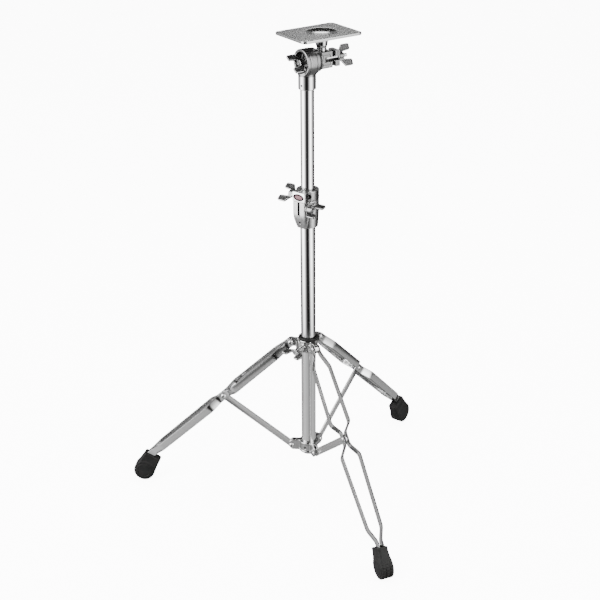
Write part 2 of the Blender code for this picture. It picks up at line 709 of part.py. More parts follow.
def loft_mesh(name, sections):
    """Skin over level sections (height, points) with equal numbers of points."""
    work = bmesh.new()
    rings = [[work.verts.new((x, y, height)) for x, y in points] for height, points in sections]
    for low, high in zip(rings, rings[1:]):
        for i in range(len(low)):
            following = (i + 1) % len(low)
            work.faces.new((low[i], low[following], high[following], high[i]))
    work.faces.new(rings[0][::-1])
    work.faces.new(rings[-1])
    bmesh.ops.recalc_face_normals(work, faces=work.faces)
    mesh = bpy.data.meshes.new(name)
    work.to_mesh(mesh)
    work.free()
    return mesh


def clamp_sections():
    """The clamp's ear grows out of its round foot along a quarter curve."""
    sections = []
    curve_top = 604 * MM
    steps = 5
    for i in range(steps + 1):
        share = i / steps
        height = CLAMP_BOTTOM + share * (curve_top - CLAMP_BOTTOM)
        swell = math.sin(share * TAU / 4)
        radius = (19.2 + 2.1 * share) * MM
        reach = 20.2 * MM + swell * (CLAMP_REACH - 20.2 * MM)
        half = 9.5 * MM + swell * (CLAMP_HALF_WIDTH - 9.5 * MM)
        sections.append((height, ear_section(radius, reach, half)))
    chamfer = 0.8 * MM
    sections.append((CLAMP_TOP - chamfer, ear_section(LOCK_RADIUS, CLAMP_REACH, CLAMP_HALF_WIDTH)))
    sections.append((CLAMP_TOP, ear_section(LOCK_RADIUS - chamfer, CLAMP_REACH - chamfer,
                                            CLAMP_HALF_WIDTH - chamfer)))
    return sections


def make_height_clamp(clamp_frame):
    mesh = loft_mesh("height_clamp", clamp_sections())
    clamp = add_part("height_clamp", mesh, "chrome_casting", parent=clamp_frame)
    bores = turned_guide("clamp_bores", [
        (0, CLAMP_TOP + 5 * MM), (BUSHING_RADIUS + GAP, CLAMP_TOP + 5 * MM),
        (BUSHING_RADIUS + GAP, BUSHING_BOTTOM - GAP), (LOWER_TUBE_RADIUS + GAP, BUSHING_BOTTOM - GAP),
        (LOWER_TUBE_RADIUS + GAP, CLAMP_BOTTOM - 5 * MM), (0, CLAMP_BOTTOM - 5 * MM)],
        closed=False, parent=clamp_frame)
    half_slot = CLAMP_SLOT_WIDTH / 2
    slot = add_guide("clamp_slot", box_mesh("clamp_slot", (10 * MM, -half_slot, CLAMP_SLOT_BOTTOM),
                                            (40 * MM, half_slot, CLAMP_TOP + 5 * MM)), parent=clamp_frame)
    bolt_spot = (CLAMP_BOLT_REACH, 0, CLAMP_BOLT_HEIGHT)
    bolt_hole = add_guide("clamp_bolt_hole", cylinder_mesh("clamp_bolt_hole", BOLT_RADIUS + GAP, 60 * MM),
                          parent=clamp_frame, location=bolt_spot, rotation=across())
    nut_half = 5.3 * MM
    nut_depth = 4.5 * MM
    pocket_mesh = cylinder_mesh("clamp_nut_pocket", (nut_half + GAP) / math.cos(math.pi / 6),
                                2 * nut_depth, 6)
    nut_side = CLAMP_HALF_WIDTH
    pocket = add_guide("clamp_nut_pocket", pocket_mesh, parent=clamp_frame, rotation=across(),
                       location=(CLAMP_BOLT_REACH, -nut_side, CLAMP_BOLT_HEIGHT))
    screw_height = 584 * MM
    screw_hole = add_guide("clamp_screw_hole", cylinder_mesh("clamp_screw_hole", 2.3 * MM, 16 * MM),
                           parent=clamp_frame, location=(20 * MM, 0, screw_height),
                           rotation=(0, math.pi / 2, 0))
    seat = spot_face("clamp_seat", 1, (CLAMP_BOLT_REACH, CLAMP_HALF_WIDTH, CLAMP_BOLT_HEIGHT), clamp_frame)
    cut(clamp, bores, slot, bolt_hole, pocket, screw_hole, seat)
    grub_screw("clamp_set_screw", 2.0 * MM, 6 * MM, "dark_steel", parent=clamp_frame,
               location=(18.2 * MM, 0, screw_height), rotation=(0, math.pi / 2, 0))
    turned_part("clamp_bushing", ring_profile(BUSHING_RADIUS, SLIDE_BORE, BUSHING_BOTTOM,
                                              CLAMP_TOP - GAP, 0.4 * MM), "black_nylon")
    nut = cylinder_mesh("clamp_nut", nut_half / math.cos(math.pi / 6), nut_depth - 0.5 * MM, 6)
    nut_centre = -nut_side + (nut_depth - 0.5 * MM) / 2
    nut_obj = add_part("clamp_nut", nut, "chrome", parent=clamp_frame, rotation=across(),
                       location=(CLAMP_BOLT_REACH, nut_centre, CLAMP_BOLT_HEIGHT))
    cut(nut_obj, bolt_hole)
    face = CLAMP_HALF_WIDTH + GAP
    wing("clamp_wing_bolt", BOLT_RADIUS, face + nut_side - 1.5 * MM, 0, clamp_frame,
         (CLAMP_BOLT_REACH, face, CLAMP_BOLT_HEIGHT), facing(TAU / 4, CLAMP_BOLT_SPIN))


def make_memory_lock(lock_axis):
    chamfer = 0.9 * MM
    full = ear_section(LOCK_RADIUS, LOCK_REACH, LOCK_HALF_WIDTH)
    small = ear_section(LOCK_RADIUS - chamfer, LOCK_REACH - chamfer, LOCK_HALF_WIDTH - chamfer)
    sections = [(LOCK_BOTTOM, small), (LOCK_BOTTOM + chamfer, full),
                (LOCK_TOP - chamfer, full), (LOCK_TOP, small)]
    lock = add_part("memory_lock", loft_mesh("memory_lock", sections), "chrome_casting", parent=lock_axis)
    middle = (LOCK_BOTTOM + LOCK_TOP) / 2
    bore = add_guide("lock_bore", cylinder_mesh("lock_bore", SLIDE_BORE, 40 * MM, FACETS),
                     parent=lock_axis, location=(0, 0, middle))
    half_slot = LOCK_SLOT_WIDTH / 2
    slot = add_guide("lock_slot", box_mesh("lock_slot", (5 * MM, -half_slot, LOCK_BOTTOM - 5 * MM),
                                           (40 * MM, half_slot, LOCK_TOP + 5 * MM)), parent=lock_axis)
    spot = (LOCK_BOLT_REACH, 0, middle)
    hole = add_guide("lock_bolt_hole", cylinder_mesh("lock_bolt_hole", BOLT_RADIUS + GAP, 60 * MM),
                     parent=lock_axis, location=spot, rotation=across())
    recess_radius = 4.85 * MM
    recess_depth = 5.0 * MM
    recess = add_guide("lock_recess", cylinder_mesh("lock_recess", recess_radius, 2 * recess_depth),
                       parent=lock_axis, rotation=across(),
                       location=(LOCK_BOLT_REACH, LOCK_HALF_WIDTH, middle))
    seat = spot_face("lock_seat", -1, (LOCK_BOLT_REACH, -LOCK_HALF_WIDTH, middle), lock_axis)
    cut(lock, bore, slot, hole, recess, seat)
    nut_face = LOCK_HALF_WIDTH + GAP
    head = recess_radius - GAP
    head_low = LOCK_HALF_WIDTH - recess_depth + GAP
    head_top = head_low + 3.4 * MM
    end = -nut_face - WING_HUB_HEIGHT + 1.5 * MM
    turned_part("lock_bolt", [
        (0, head_top - 1.8 * MM), (2.4 * MM, head_top - 1.8 * MM), (2.4 * MM, head_top),
        (head, head_top), (head, head_low), (BOLT_RADIUS, head_low), (BOLT_RADIUS, end), (0, end)],
        "dark_steel", facets=SMALL_FACETS, closed=False, parent=lock_axis, location=spot,
        rotation=across())
    badge_thickness = 1.2 * MM
    badge = flat_mesh("lock_badge", [rounded_rectangle(9.2 * MM, 13.9 * MM, 1.6 * MM)], badge_thickness)
    add_part("lock_badge", badge, "chrome", parent=lock_axis, rotation=(0, math.pi / 2, 0),
             location=(LOCK_REACH + GAP + badge_thickness / 2, 0, middle))
    wing("lock_wing_nut", 0, 0, BOLT_RADIUS + GAP, lock_axis,
         (LOCK_BOLT_REACH, -nut_face, middle), facing(-TAU / 4, LOCK_NUT_SPIN))


# ---------------------------------------------------------------- tilter and plate

def make_tilter_body(mast_axis, tilter_frame):
    """Sleeve on the upper tube with a cupped brake drum across its top."""
    top = TILTER_HEIGHT - 12 * MM
    sleeve = turned_part("tilter_body", [
        (0, top), (SLEEVE_RADIUS, top), (SLEEVE_RADIUS, SLEEVE_BOTTOM + 3 * MM),
        (SLEEVE_RADIUS - 1.9 * MM, SLEEVE_BOTTOM), (0, SLEEVE_BOTTOM)],
        "chrome_casting", closed=False, parent=mast_axis)
    rim = 1.4 * MM
    drum = turned_guide("drum", [
        (0, DRUM_END), (DRUM_RADIUS - 0.5 * MM, DRUM_END), (DRUM_RADIUS, DRUM_END - 0.5 * MM),
        (DRUM_RADIUS, DRUM_START + rim), (DRUM_RADIUS - rim, DRUM_START), (0, DRUM_START)],
        closed=False, parent=tilter_frame, rotation=(0, math.pi / 2, 0))
    cup_bottom = DRUM_START + CUP_DEPTH
    cup = turned_guide("drum_cup", [
        (0, cup_bottom), (CUP_RADIUS - 2 * MM, cup_bottom), (CUP_RADIUS, cup_bottom - 2 * MM),
        (CUP_RADIUS, DRUM_START - 5 * MM), (0, DRUM_START - 5 * MM)],
        closed=False, parent=tilter_frame, rotation=(0, math.pi / 2, 0))
    bore = add_guide("sleeve_bore", cylinder_mesh("sleeve_bore", SLIDE_BORE, 60 * MM, FACETS),
                     parent=mast_axis, location=(0, 0, UPPER_TUBE_TOP + GAP - 30 * MM))
    bolt_hole = add_guide("brake_hole", cylinder_mesh("brake_hole", BRAKE_BOLT_RADIUS + GAP, 60 * MM),
                          parent=tilter_frame, rotation=(0, math.pi / 2, 0))
    screw_angle = math.radians(-153)
    outward = (0, math.pi / 2, screw_angle)
    screw_height = 842.5 * MM
    screw_hole = add_guide("sleeve_screw_hole", cylinder_mesh("sleeve_screw_hole", 1.8 * MM, 10 * MM),
                           parent=mast_axis, rotation=outward,
                           location=polar(screw_angle, 15 * MM, screw_height))
    join(sleeve, drum)
    cut(sleeve, cup, bore, bolt_hole, screw_hole)
    grub_screw("sleeve_screw", 1.5 * MM, 2.2 * MM, "dark_steel", parent=mast_axis, rotation=outward,
               location=polar(screw_angle, 14.1 * MM, screw_height))
    return bolt_hole


def make_brake_bolt(tilter_frame):
    """Wing bolt in the drum's cup, threaded through to the jaw."""
    face = DRUM_START + CUP_DEPTH - GAP
    length = BRAKE_BOLT_END - face
    hub_reach = 5 * MM
    bolt = wing("brake_wing_bolt", BRAKE_BOLT_RADIUS, length + hub_reach, 0, tilter_frame,
                (face - hub_reach, 0, 0), facing(math.pi, BRAKE_BOLT_SPIN))
    collar = cylinder_mesh("brake_collar", WING_HUB_RADIUS + 1.5 * MM, hub_reach + 2 * MM)
    join(bolt, add_guide("brake_collar", collar, parent=bolt, location=(0, 0, 1 * MM - hub_reach / 2)))


def make_jaw(tilt_axis, bolt_hole):
    """Casting that tilts on the brake face and holds the plate's stem."""
    along = (0, math.pi / 2, 0)
    disc = turned_part("brake_disc", [
        (BRAKE_BOLT_RADIUS + GAP, DISC_END), (19.5 * MM, DISC_END), (19.5 * MM, DISC_START),
        (BRAKE_BOLT_RADIUS + GAP, DISC_START)], "black_nylon", parent=tilt_axis, rotation=along)
    disc.data.shade_smooth()
    flange = 20.6 * MM
    jaw = turned_part("tilt_jaw", [
        (0, JAW_FLANGE_END), (flange - 3 * MM, JAW_FLANGE_END), (flange, JAW_FLANGE_END - 1.6 * MM),
        (flange, JAW_START + 0.5 * MM), (flange - 0.5 * MM, JAW_START), (0, JAW_START)],
        "chrome_casting", closed=False, parent=tilt_axis, rotation=along)
    block = box_mesh("jaw_block", (JAW_START + 0.8 * MM, -JAW_HALF_WIDTH, -JAW_HALF_HEIGHT),
                     (JAW_END, JAW_HALF_WIDTH, JAW_HALF_HEIGHT))
    block_guide = add_guide("jaw_block", block, parent=tilt_axis)
    bevel = block_guide.modifiers.new("Bevel", "BEVEL")
    bevel.width = 1.6 * MM
    bevel.segments = 2
    join(jaw, block_guide)
    rod_hole = add_guide("rod_hole", cylinder_mesh("rod_hole", ROD_RADIUS + GAP, 80 * MM),
                         parent=tilt_axis, location=(STEM_REACH, 0, 0))
    eye_pocket = add_guide("eye_pocket", box_mesh(
        "eye_pocket", (STEM_REACH - EYE_RADIUS - GAP, -EYE_RADIUS - GAP, -EYE_HALF_HEIGHT - 1 * MM),
        (STEM_REACH + EYE_RADIUS + GAP, 40 * MM, EYE_HALF_HEIGHT + 1 * MM)), parent=tilt_axis)
    shank_slot = add_guide("shank_slot", box_mesh(
        "shank_slot", (STEM_REACH, -4.4 * MM, -4.7 * MM), (60 * MM, -40 * MM, 4.7 * MM)), parent=tilt_axis)
    nose_slot = add_guide("nose_slot", box_mesh(
        "nose_slot", (STEM_REACH, -4.5 * MM, -8.6 * MM), (60 * MM, 10 * MM, 8.6 * MM)), parent=tilt_axis)
    for tool in (eye_pocket, shank_slot, nose_slot):
        weld(tool.data)
    cut(jaw, bolt_hole, rod_hole, eye_pocket, shank_slot, nose_slot)
    return rod_hole


def make_eye_bolt(tilt_axis, rod_hole):
    """Bolt whose eye goes round the stem and pulls it against the shoe."""
    eye = add_part("eye_bolt", cylinder_mesh("eye_bolt", EYE_RADIUS, 2 * EYE_HALF_HEIGHT, FACETS),
                   "chrome", parent=tilt_axis, location=(STEM_REACH, 0, 0))
    start = STEM_REACH + EYE_RADIUS - 1.5 * MM
    shank = cylinder_mesh("eye_bolt_shank", 3.4 * MM, EYE_BOLT_END - start)
    shank.transform(Matrix.Rotation(math.pi / 2, 4, "Y"))
    join(eye, add_guide("eye_bolt_shank", shank, parent=tilt_axis,
                        location=((start + EYE_BOLT_END) / 2, 0, 0)))
    cut(eye, rod_hole)


def make_shoe(tilt_axis):
    """Sliding shoe: a slotted block outside the jaw and a nose that bears on the stem."""
    block = box_mesh("clamp_shoe", (SHOE_START, -12 * MM, -14.8 * MM), (SHOE_END, 12 * MM, 14.8 * MM))
    shoe = add_part("clamp_shoe", block, "chrome_casting", parent=tilt_axis)
    bevel = shoe.modifiers.new("Bevel", "BEVEL")
    bevel.width = 1.2 * MM
    bevel.segments = 2
    nose_tip = STEM_REACH + ROD_RADIUS + 3.4 * MM
    nose = box_mesh("shoe_nose", (nose_tip, 4.1 * MM, -8.2 * MM), (SHOE_START + 2 * MM, 9.6 * MM, 8.2 * MM))
    slot = box_mesh("shoe_slot", (SHOE_START - 5 * MM, -40 * MM, -4.2 * MM),
                    (SHOE_END + 5 * MM, 3.8 * MM, 4.2 * MM))
    join(shoe, add_guide("shoe_nose", nose, parent=tilt_axis))
    cut(shoe, add_guide("shoe_slot", slot, parent=tilt_axis))
    wing("jaw_wing_nut", 0, 0, 3.4 * MM + GAP, tilt_axis, (SHOE_END + GAP, 0, 0),
         facing(0, JAW_NUT_SPIN))


def make_stem(plate_axis):
    """Stem on the plate's underside; its plain rod goes down through the jaw."""
    jaw_top = TILTER_HEIGHT + JAW_HALF_HEIGHT + GAP
    rod_bottom = TILTER_HEIGHT - 12.5 * MM
    spigot = 5 * MM
    profile = [(0, BOSS_BOTTOM + 3 * MM), (spigot, BOSS_BOTTOM + 3 * MM), (spigot, BOSS_BOTTOM - GAP),
               (12.2 * MM, BOSS_BOTTOM - GAP), (12.2 * MM, BOSS_BOTTOM - 3 * MM),
               (11.6 * MM, BOSS_BOTTOM - 8 * MM), (10.6 * MM, BOSS_BOTTOM - 14 * MM),
               (STEM_WAIST, BOSS_BOTTOM - 18 * MM), (STEM_WAIST, jaw_top), (ROD_RADIUS, jaw_top),
               (ROD_RADIUS, rod_bottom + 1 * MM),
               (ROD_RADIUS - 1 * MM, rod_bottom), (0, rod_bottom)]
    turned_part("plate_stem", profile, "chrome", closed=False, parent=plate_axis)


def dish_profile():
    """Shallow bowl, from its middle out over a rounded lip."""
    points = [(0, PLATE_TOP - DISH_DEPTH)]
    for share in (0.35, 0.6, 0.8, 0.92, 1.0):
        points.append((DISH_RADIUS * share, PLATE_TOP - DISH_DEPTH * (1 - share**2.6)))
    return points


def make_plate(plate_axis):
    off_centre = PLATE_CENTRE - STEM_REACH
    outline = rounded_rectangle(PLATE_LENGTH / 2, PLATE_WIDTH / 2, PLATE_CORNER)
    holes = [circle((sx * PLATE_HOLE_X, sy * PLATE_HOLE_Y), PLATE_HOLE_RADIUS)
             for sx in (-1, 1) for sy in (-1, 1)]
    mesh = flat_mesh("mounting_plate", [outline] + holes, PLATE_THICKNESS)
    mesh.transform(Matrix.Translation((off_centre, 0, PLATE_TOP - PLATE_THICKNESS / 2)))
    plate = add_part("mounting_plate", mesh, "satin_steel", parent=plate_axis)
    slab_bottom = PLATE_TOP - PLATE_THICKNESS
    boss = turned_guide("plate_boss", [
        (0, slab_bottom + 2 * MM), (25 * MM, slab_bottom + 2 * MM), (25 * MM, slab_bottom - 1 * MM),
        (20 * MM, slab_bottom - 4 * MM), (13.5 * MM, BOSS_BOTTOM), (0, BOSS_BOTTOM)],
        closed=False, parent=plate_axis)
    above = PLATE_TOP + 5 * MM
    dish = turned_guide("plate_dish", [(0, above), (DISH_RADIUS + 1 * MM, above)]
                        + dish_profile()[::-1], closed=False, parent=plate_axis)
    socket = add_guide("stem_socket", cylinder_mesh("stem_socket", 5 * MM + GAP, 6.6 * MM),
                       parent=plate_axis, location=(0, 0, BOSS_BOTTOM))
    join(plate, boss)
    cut(plate, dish, socket)


# ---------------------------------------------------------------- assembly

def move_origin_to_footprint():
    """Everything is built round the tube's axis. This moves it so the footprint's middle is the origin."""
    for obj in bpy.data.objects:
        if obj.parent is None:
            obj.location.y += FOOTPRINT_CENTRE


def build():
    plug_axis = add_axis("height_axis", (0, 0, 0), (0, 0, 0))
    mast_axis = add_axis("swivel_axis", (0, 0, 0), (0, 0, 0), plug_axis)
    clamp_frame = add_axis("clamp_frame", (0, 0, 0), (0, 0, CLAMP_ANGLE))
    lock_axis = add_axis("lock_axis", (0, 0, 0), (0, 0, CLAMP_ANGLE))
    tilter_frame = add_axis("tilter_frame", (0, 0, TILTER_HEIGHT), (0, 0, TILTER_ANGLE), mast_axis)
    tilt_axis = add_axis("tilt_axis", (0, 0, 0), (0, 0, 0), tilter_frame)
    plate_axis = add_axis("plate_axis", (STEM_REACH, 0, -TILTER_HEIGHT), (0, 0, 0), tilt_axis)
    make_tubes(plug_axis, mast_axis)
    make_bracket()
    pivot_cutters = {}
    for place, degrees in LEG_NAMES.items():
        make_brace(place, degrees)
        pivot_cutters[place] = make_leg(place, degrees)
    make_collar(pivot_cutters)
    make_height_clamp(clamp_frame)
    make_memory_lock(lock_axis)
    bolt_hole = make_tilter_body(mast_axis, tilter_frame)
    make_brake_bolt(tilter_frame)
    rod_hole = make_jaw(tilt_axis, bolt_hole)
    make_eye_bolt(tilt_axis, rod_hole)
    make_shoe(tilt_axis)
    make_stem(plate_axis)
    make_plate(plate_axis)
    move_origin_to_footprint()


build()
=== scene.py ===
"""Looks of the double-braced tripod stand with its brake tilter and mounting plate.

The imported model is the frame. Every piece here is in metres in the row frame, and takes its place
from the frame's boxes and joints. Lengths in millimetres are written times MM.
"""
import json
import math

import bmesh
import bpy
import numpy as np
from mathutils import Euler, Matrix, Vector


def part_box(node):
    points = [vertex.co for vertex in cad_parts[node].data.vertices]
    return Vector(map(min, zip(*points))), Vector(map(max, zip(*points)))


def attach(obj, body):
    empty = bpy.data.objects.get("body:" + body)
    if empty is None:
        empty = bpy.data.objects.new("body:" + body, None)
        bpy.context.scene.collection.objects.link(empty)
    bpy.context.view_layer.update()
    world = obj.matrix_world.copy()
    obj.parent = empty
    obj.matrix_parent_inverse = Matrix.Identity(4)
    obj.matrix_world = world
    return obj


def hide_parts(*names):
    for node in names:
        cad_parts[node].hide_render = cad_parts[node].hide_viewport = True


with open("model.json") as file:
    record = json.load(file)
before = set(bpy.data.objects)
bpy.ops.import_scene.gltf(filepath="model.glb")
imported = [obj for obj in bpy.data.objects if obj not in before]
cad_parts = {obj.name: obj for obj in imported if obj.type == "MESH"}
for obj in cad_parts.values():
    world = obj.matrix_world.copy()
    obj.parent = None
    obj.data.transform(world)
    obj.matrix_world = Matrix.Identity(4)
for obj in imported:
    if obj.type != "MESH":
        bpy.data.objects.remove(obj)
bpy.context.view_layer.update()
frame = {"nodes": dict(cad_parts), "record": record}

MM = 0.001
TAU = 2 * math.pi
GAP = 0.3 * MM                     # between parts that move or fit together
PIVOT_BORE = 3.3 * MM              # radius of the holes for 6 mm pins and bolts
WING_SEAT = 7.6 * MM               # radius of the flat under a wing screw's flange
SCREW_PITCH = 1.25 * MM

JOINTS = {joint["name"]: joint for joint in frame["record"]["behaviour"]["joints"]}

# Everything is built round the tubes' axis, and add_piece moves it to its place in the row frame.
TUBE_MIDDLE = sum(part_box("lower_tube"), Vector()) / 2
TUBE_AXIS = Vector((TUBE_MIDDLE.x, TUBE_MIDDLE.y, 0))


def low(node):
    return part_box(node)[0] - TUBE_AXIS


def high(node):
    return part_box(node)[1] - TUBE_AXIS


def pivot(name):
    return Vector(JOINTS[name]["pos_m"]) - TUBE_AXIS


# ---------------------------------------------------------------- places taken from the frame

LOWER_TUBE_RADIUS = high("lower_tube").x
UPPER_TUBE_RADIUS = high("upper_tube").x
LEGS = {"front": math.radians(-90), "right": math.radians(30), "left": math.radians(150)}
UPPER_PIVOT = pivot("collar_joint")
LOWER_PIVOT = pivot("fold")
FRONT_JOINT = pivot("leg_front_joint")
PIVOT_REACH = Vector((UPPER_PIVOT.x, UPPER_PIVOT.y)).length
LEG_TO_JOINT = (FRONT_JOINT - UPPER_PIVOT).length
BRACE_LENGTH = (FRONT_JOINT - LOWER_PIVOT).length
LEG_SLOPE = math.asin((UPPER_PIVOT.z - FRONT_JOINT.z) / LEG_TO_JOINT)
BRACE_SLOPE = math.asin((FRONT_JOINT.z - LOWER_PIVOT.z) / BRACE_LENGTH)
CLAMP_ANGLE = math.radians(-150)
TILT_AXIS = Vector(JOINTS["tilt"]["axis"])
TILTER_ANGLE = math.atan2(TILT_AXIS.y, TILT_AXIS.x)
TILTER_HEIGHT = pivot("tilt").z
STEM_REACH = pivot("plate_turn").to_2d().length


def polar(angle, reach, height=0.0):
    return Vector((reach * math.cos(angle), reach * math.sin(angle), height))


def placed(location, rotation=(0, 0, 0)):
    return Matrix.Translation(location) @ Euler(rotation).to_matrix().to_4x4()


CLAMP_FRAME = placed((0, 0, 0), (0, 0, CLAMP_ANGLE))
TILT_FRAME = placed((0, 0, TILTER_HEIGHT), (0, 0, TILTER_ANGLE))
PLATE_FRAME = placed(polar(TILTER_ANGLE, STEM_REACH), (0, 0, TILTER_ANGLE))
LEG_FRAMES = {place: placed(polar(angle, PIVOT_REACH, UPPER_PIVOT.z), (0, LEG_SLOPE, angle))
              for place, angle in LEGS.items()}
BRACE_FRAMES = {place: placed(polar(angle, PIVOT_REACH, LOWER_PIVOT.z), (0, -BRACE_SLOPE, angle))
                for place, angle in LEGS.items()}
ALONG_X = Euler((0, math.pi / 2, 0)).to_matrix().to_4x4()
ALONG_Y = Euler((-math.pi / 2, 0, 0)).to_matrix().to_4x4()


# ---------------------------------------------------------------- materials

class Nodes:
    """Short way to write a node tree."""

    def __init__(self, name):
        self.material = bpy.data.materials.new(name)
        self.material.use_nodes = True
        self.tree = self.material.node_tree
        self.shader = self.tree.nodes["Principled BSDF"]
        coordinates = self.tree.nodes.new("ShaderNodeTexCoord")
        self.object = coordinates.outputs["Object"]

    def add(self, kind, inputs=(), **settings):
        node = self.tree.nodes.new("ShaderNode" + kind)
        for key, value in settings.items():
            setattr(node, key, value)
        for key, value in dict(inputs).items():
            if isinstance(value, bpy.types.NodeSocket):
                self.tree.links.new(value, node.inputs[key])
            else:
                node.inputs[key].default_value = value
        return node

    def stretched(self, scale):
        return self.add("Mapping", {"Vector": self.object, "Scale": scale}).outputs["Vector"]

    def noise(self, scale, detail=3.0, rough=0.5, vector=None):
        node = self.add("TexNoise", {"Vector": vector or self.object, "Scale": scale,
                                     "Detail": detail, "Roughness": rough})
        return node.outputs["Fac"]

    def remap(self, value, from_low, from_high, to_low, to_high):
        node = self.add("MapRange", {"Value": value, "From Min": from_low, "From Max": from_high,
                                     "To Min": to_low, "To Max": to_high})
        return node.outputs["Result"]

    def mix(self, factor, first, second):
        node = self.add("Mix", data_type="RGBA")
        for socket, value in ((node.inputs[0], factor), (node.inputs[6], first), (node.inputs[7], second)):
            if isinstance(value, bpy.types.NodeSocket):
                self.tree.links.new(value, socket)
            else:
                socket.default_value = value
        return node.outputs[2]

    def bump(self, height, distance, strength=1.0, normal=None):
        inputs = {"Height": height, "Distance": distance, "Strength": strength}
        if normal:
            inputs["Normal"] = normal
        return self.add("Bump", inputs).outputs["Normal"]

    def set(self, **inputs):
        for key, value in inputs.items():
            socket = self.shader.inputs[key.replace("_", " ")]
            if isinstance(value, bpy.types.NodeSocket):
                self.tree.links.new(value, socket)
            else:
                socket.default_value = value
        return self.material


def grey(value, warm=0.0):
    return (value * (1 + warm), value, value * (1 - warm), 1)


def polished_chrome(name, shade=0.86, rough=0.05, wave=0.02, streak=(1, 1, 1), painted_edge_light=1.1):
    """Plated, polished steel: faint smudges, hairline scratches and, with wave, uneven plating. The
    edges' colour is the faces' times an edge factor: painted light, a painted highlight above 1 and a painted
    dark outline below 1, as for flat strip."""
    n = Nodes(name)
    smudge = n.noise(38, 4, 0.6)
    hairline = n.noise(900, 2, 0.7, n.stretched(streak))
    tone = n.mix(n.remap(smudge, 0.35, 0.7, 0, 1), grey(shade, -0.004), grey(shade * 0.93, 0.006))
    # painted light: sharp edges take a painted highlight, or a painted dark outline where the edge factor is
    # below 1
    edge = n.remap(n.add("NewGeometry").outputs["Pointiness"], 0.52, 0.6, 0, 1)
    tone = n.mix(edge, tone, grey(min(shade * painted_edge_light, 0.97)))
    roughness = n.add("Math", {0: n.remap(smudge, 0.3, 0.75, rough, rough + 0.06),
                               1: n.remap(hairline, 0.45, 0.8, 0, 0.05)}, operation="ADD").outputs[0]
    n.set(Base_Color=tone, Metallic=1.0, Roughness=roughness)
    if wave:
        normal = n.bump(n.noise(90, 2), wave * MM, 1.0)
        n.set(Normal=n.bump(hairline, 0.004 * MM, 1.0, normal))
    return n.material


def cast_chrome(name, shade=0.78, rough=0.16, pebble=0.35):
    """Plated zinc casting: pebbled skin, with painted shade in its hollows and a painted highlight on its
    edges.
    """
    n = Nodes(name)
    coarse = n.noise(210, 3, 0.55)
    fine = n.noise(720, 2, 0.6)
    point = n.add("NewGeometry").outputs["Pointiness"]
    # painted light: painted shade in the hollows, a painted highlight on the sharp edges
    hollow = n.remap(point, 0.40, 0.5, 1, 0)
    painted_edge_highlight = n.remap(point, 0.51, 0.58, 0, 1)
    tone = n.mix(n.remap(coarse, 0.35, 0.65, 0, 1), grey(shade * 0.86, 0.004), grey(shade))
    tone = n.mix(hollow, tone, grey(shade * 0.45))
    tone = n.mix(painted_edge_highlight, tone, grey(0.95))
    roughness = n.remap(fine, 0.3, 0.7, rough, rough + 0.14)
    normal = n.bump(coarse, pebble * MM, 1.0)
    normal = n.bump(fine, 0.05 * MM, 0.8, normal)
    return n.set(Base_Color=tone, Metallic=1.0, Roughness=roughness, Normal=normal)


def brushed_plate(name):
    """Rolled steel plate, brushed lengthwise, with faint handling marks and a painted highlight on its edges.
    """
    n = Nodes(name)
    brush = n.noise(55, 5, 0.75, n.stretched((1.2, 40, 10)))
    cloud = n.noise(24, 3, 0.6)
    tone = n.mix(n.remap(cloud, 0.3, 0.7, 0, 1), grey(0.38), grey(0.5))
    tone = n.mix(n.remap(brush, 0.35, 0.65, 0, 0.6), tone, grey(0.27))
    # painted highlight on the sharp edges
    edge = n.remap(n.add("NewGeometry").outputs["Pointiness"], 0.505, 0.55, 0, 1)
    tone = n.mix(edge, tone, grey(0.92))
    roughness = n.remap(brush, 0.3, 0.7, 0.14, 0.24)
    normal = n.bump(brush, 0.02 * MM, 0.6)
    normal = n.bump(n.noise(400, 2), 0.015 * MM, 0.6, normal)
    return n.set(Base_Color=tone, Metallic=1.0, Roughness=roughness, Normal=normal)


def moulded_rubber(name, shade=0.018):
    """Black rubber: fine grain, a grey bloom on the high spots and a little dust."""
    n = Nodes(name)
    grain = n.noise(1500, 3, 0.7)
    cloud = n.noise(70, 4, 0.6)
    point = n.add("NewGeometry").outputs["Pointiness"]
    tone = n.mix(n.remap(cloud, 0.4, 0.75, 0, 1), grey(shade), grey(shade * 2.1, 0.03))
    tone = n.mix(n.remap(point, 0.51, 0.58, 0, 0.7), tone, grey(shade * 3.5, 0.02))
    roughness = n.remap(cloud, 0.3, 0.7, 0.48, 0.72)
    normal = n.bump(grain, 0.05 * MM, 0.8)
    return n.set(Base_Color=tone, Roughness=roughness, Normal=normal, Specular_IOR_Level=0.22)


def moulded_nylon(name):
    """Black nylon: slightly glossy, with moulding flow marks."""
    n = Nodes(name)
    flow = n.noise(60, 3, 0.5, n.stretched((1, 1, 0.2)))
    grain = n.noise(1100, 2)
    tone = n.mix(n.remap(flow, 0.35, 0.7, 0, 1), grey(0.016), grey(0.03))
    roughness = n.remap(grain, 0.3, 0.7, 0.3, 0.45)
    return n.set(Base_Color=tone, Roughness=roughness, Normal=n.bump(grain, 0.02 * MM, 0.6))


def black_oxide(name):
    """Oiled black screw steel, rubbed grey on its edges."""
    n = Nodes(name)
    cloud = n.noise(300, 3)
    point = n.add("NewGeometry").outputs["Pointiness"]
    tone = n.mix(n.remap(cloud, 0.35, 0.7, 0, 1), grey(0.035), grey(0.07, 0.02))
    tone = n.mix(n.remap(point, 0.52, 0.6, 0, 0.8), tone, grey(0.3))
    roughness = n.remap(cloud, 0.3, 0.7, 0.3, 0.5)
    return n.set(Base_Color=tone, Metallic=0.8, Roughness=roughness, Normal=n.bump(cloud, 0.03 * MM, 0.7))


def enamel(name, first, second, rough):
    """Thin baked enamel with a little mottle."""
    n = Nodes(name)
    cloud = n.noise(420, 4, 0.6)
    tone = n.mix(n.remap(cloud, 0.35, 0.65, 0, 1), first, second)
    normal = n.bump(n.noise(700, 2), 0.02 * MM, 0.6)
    return n.set(Base_Color=tone, Roughness=n.remap(cloud, 0.3, 0.7, rough, rough + 0.12), Normal=normal,
                 Specular_IOR_Level=0.05)


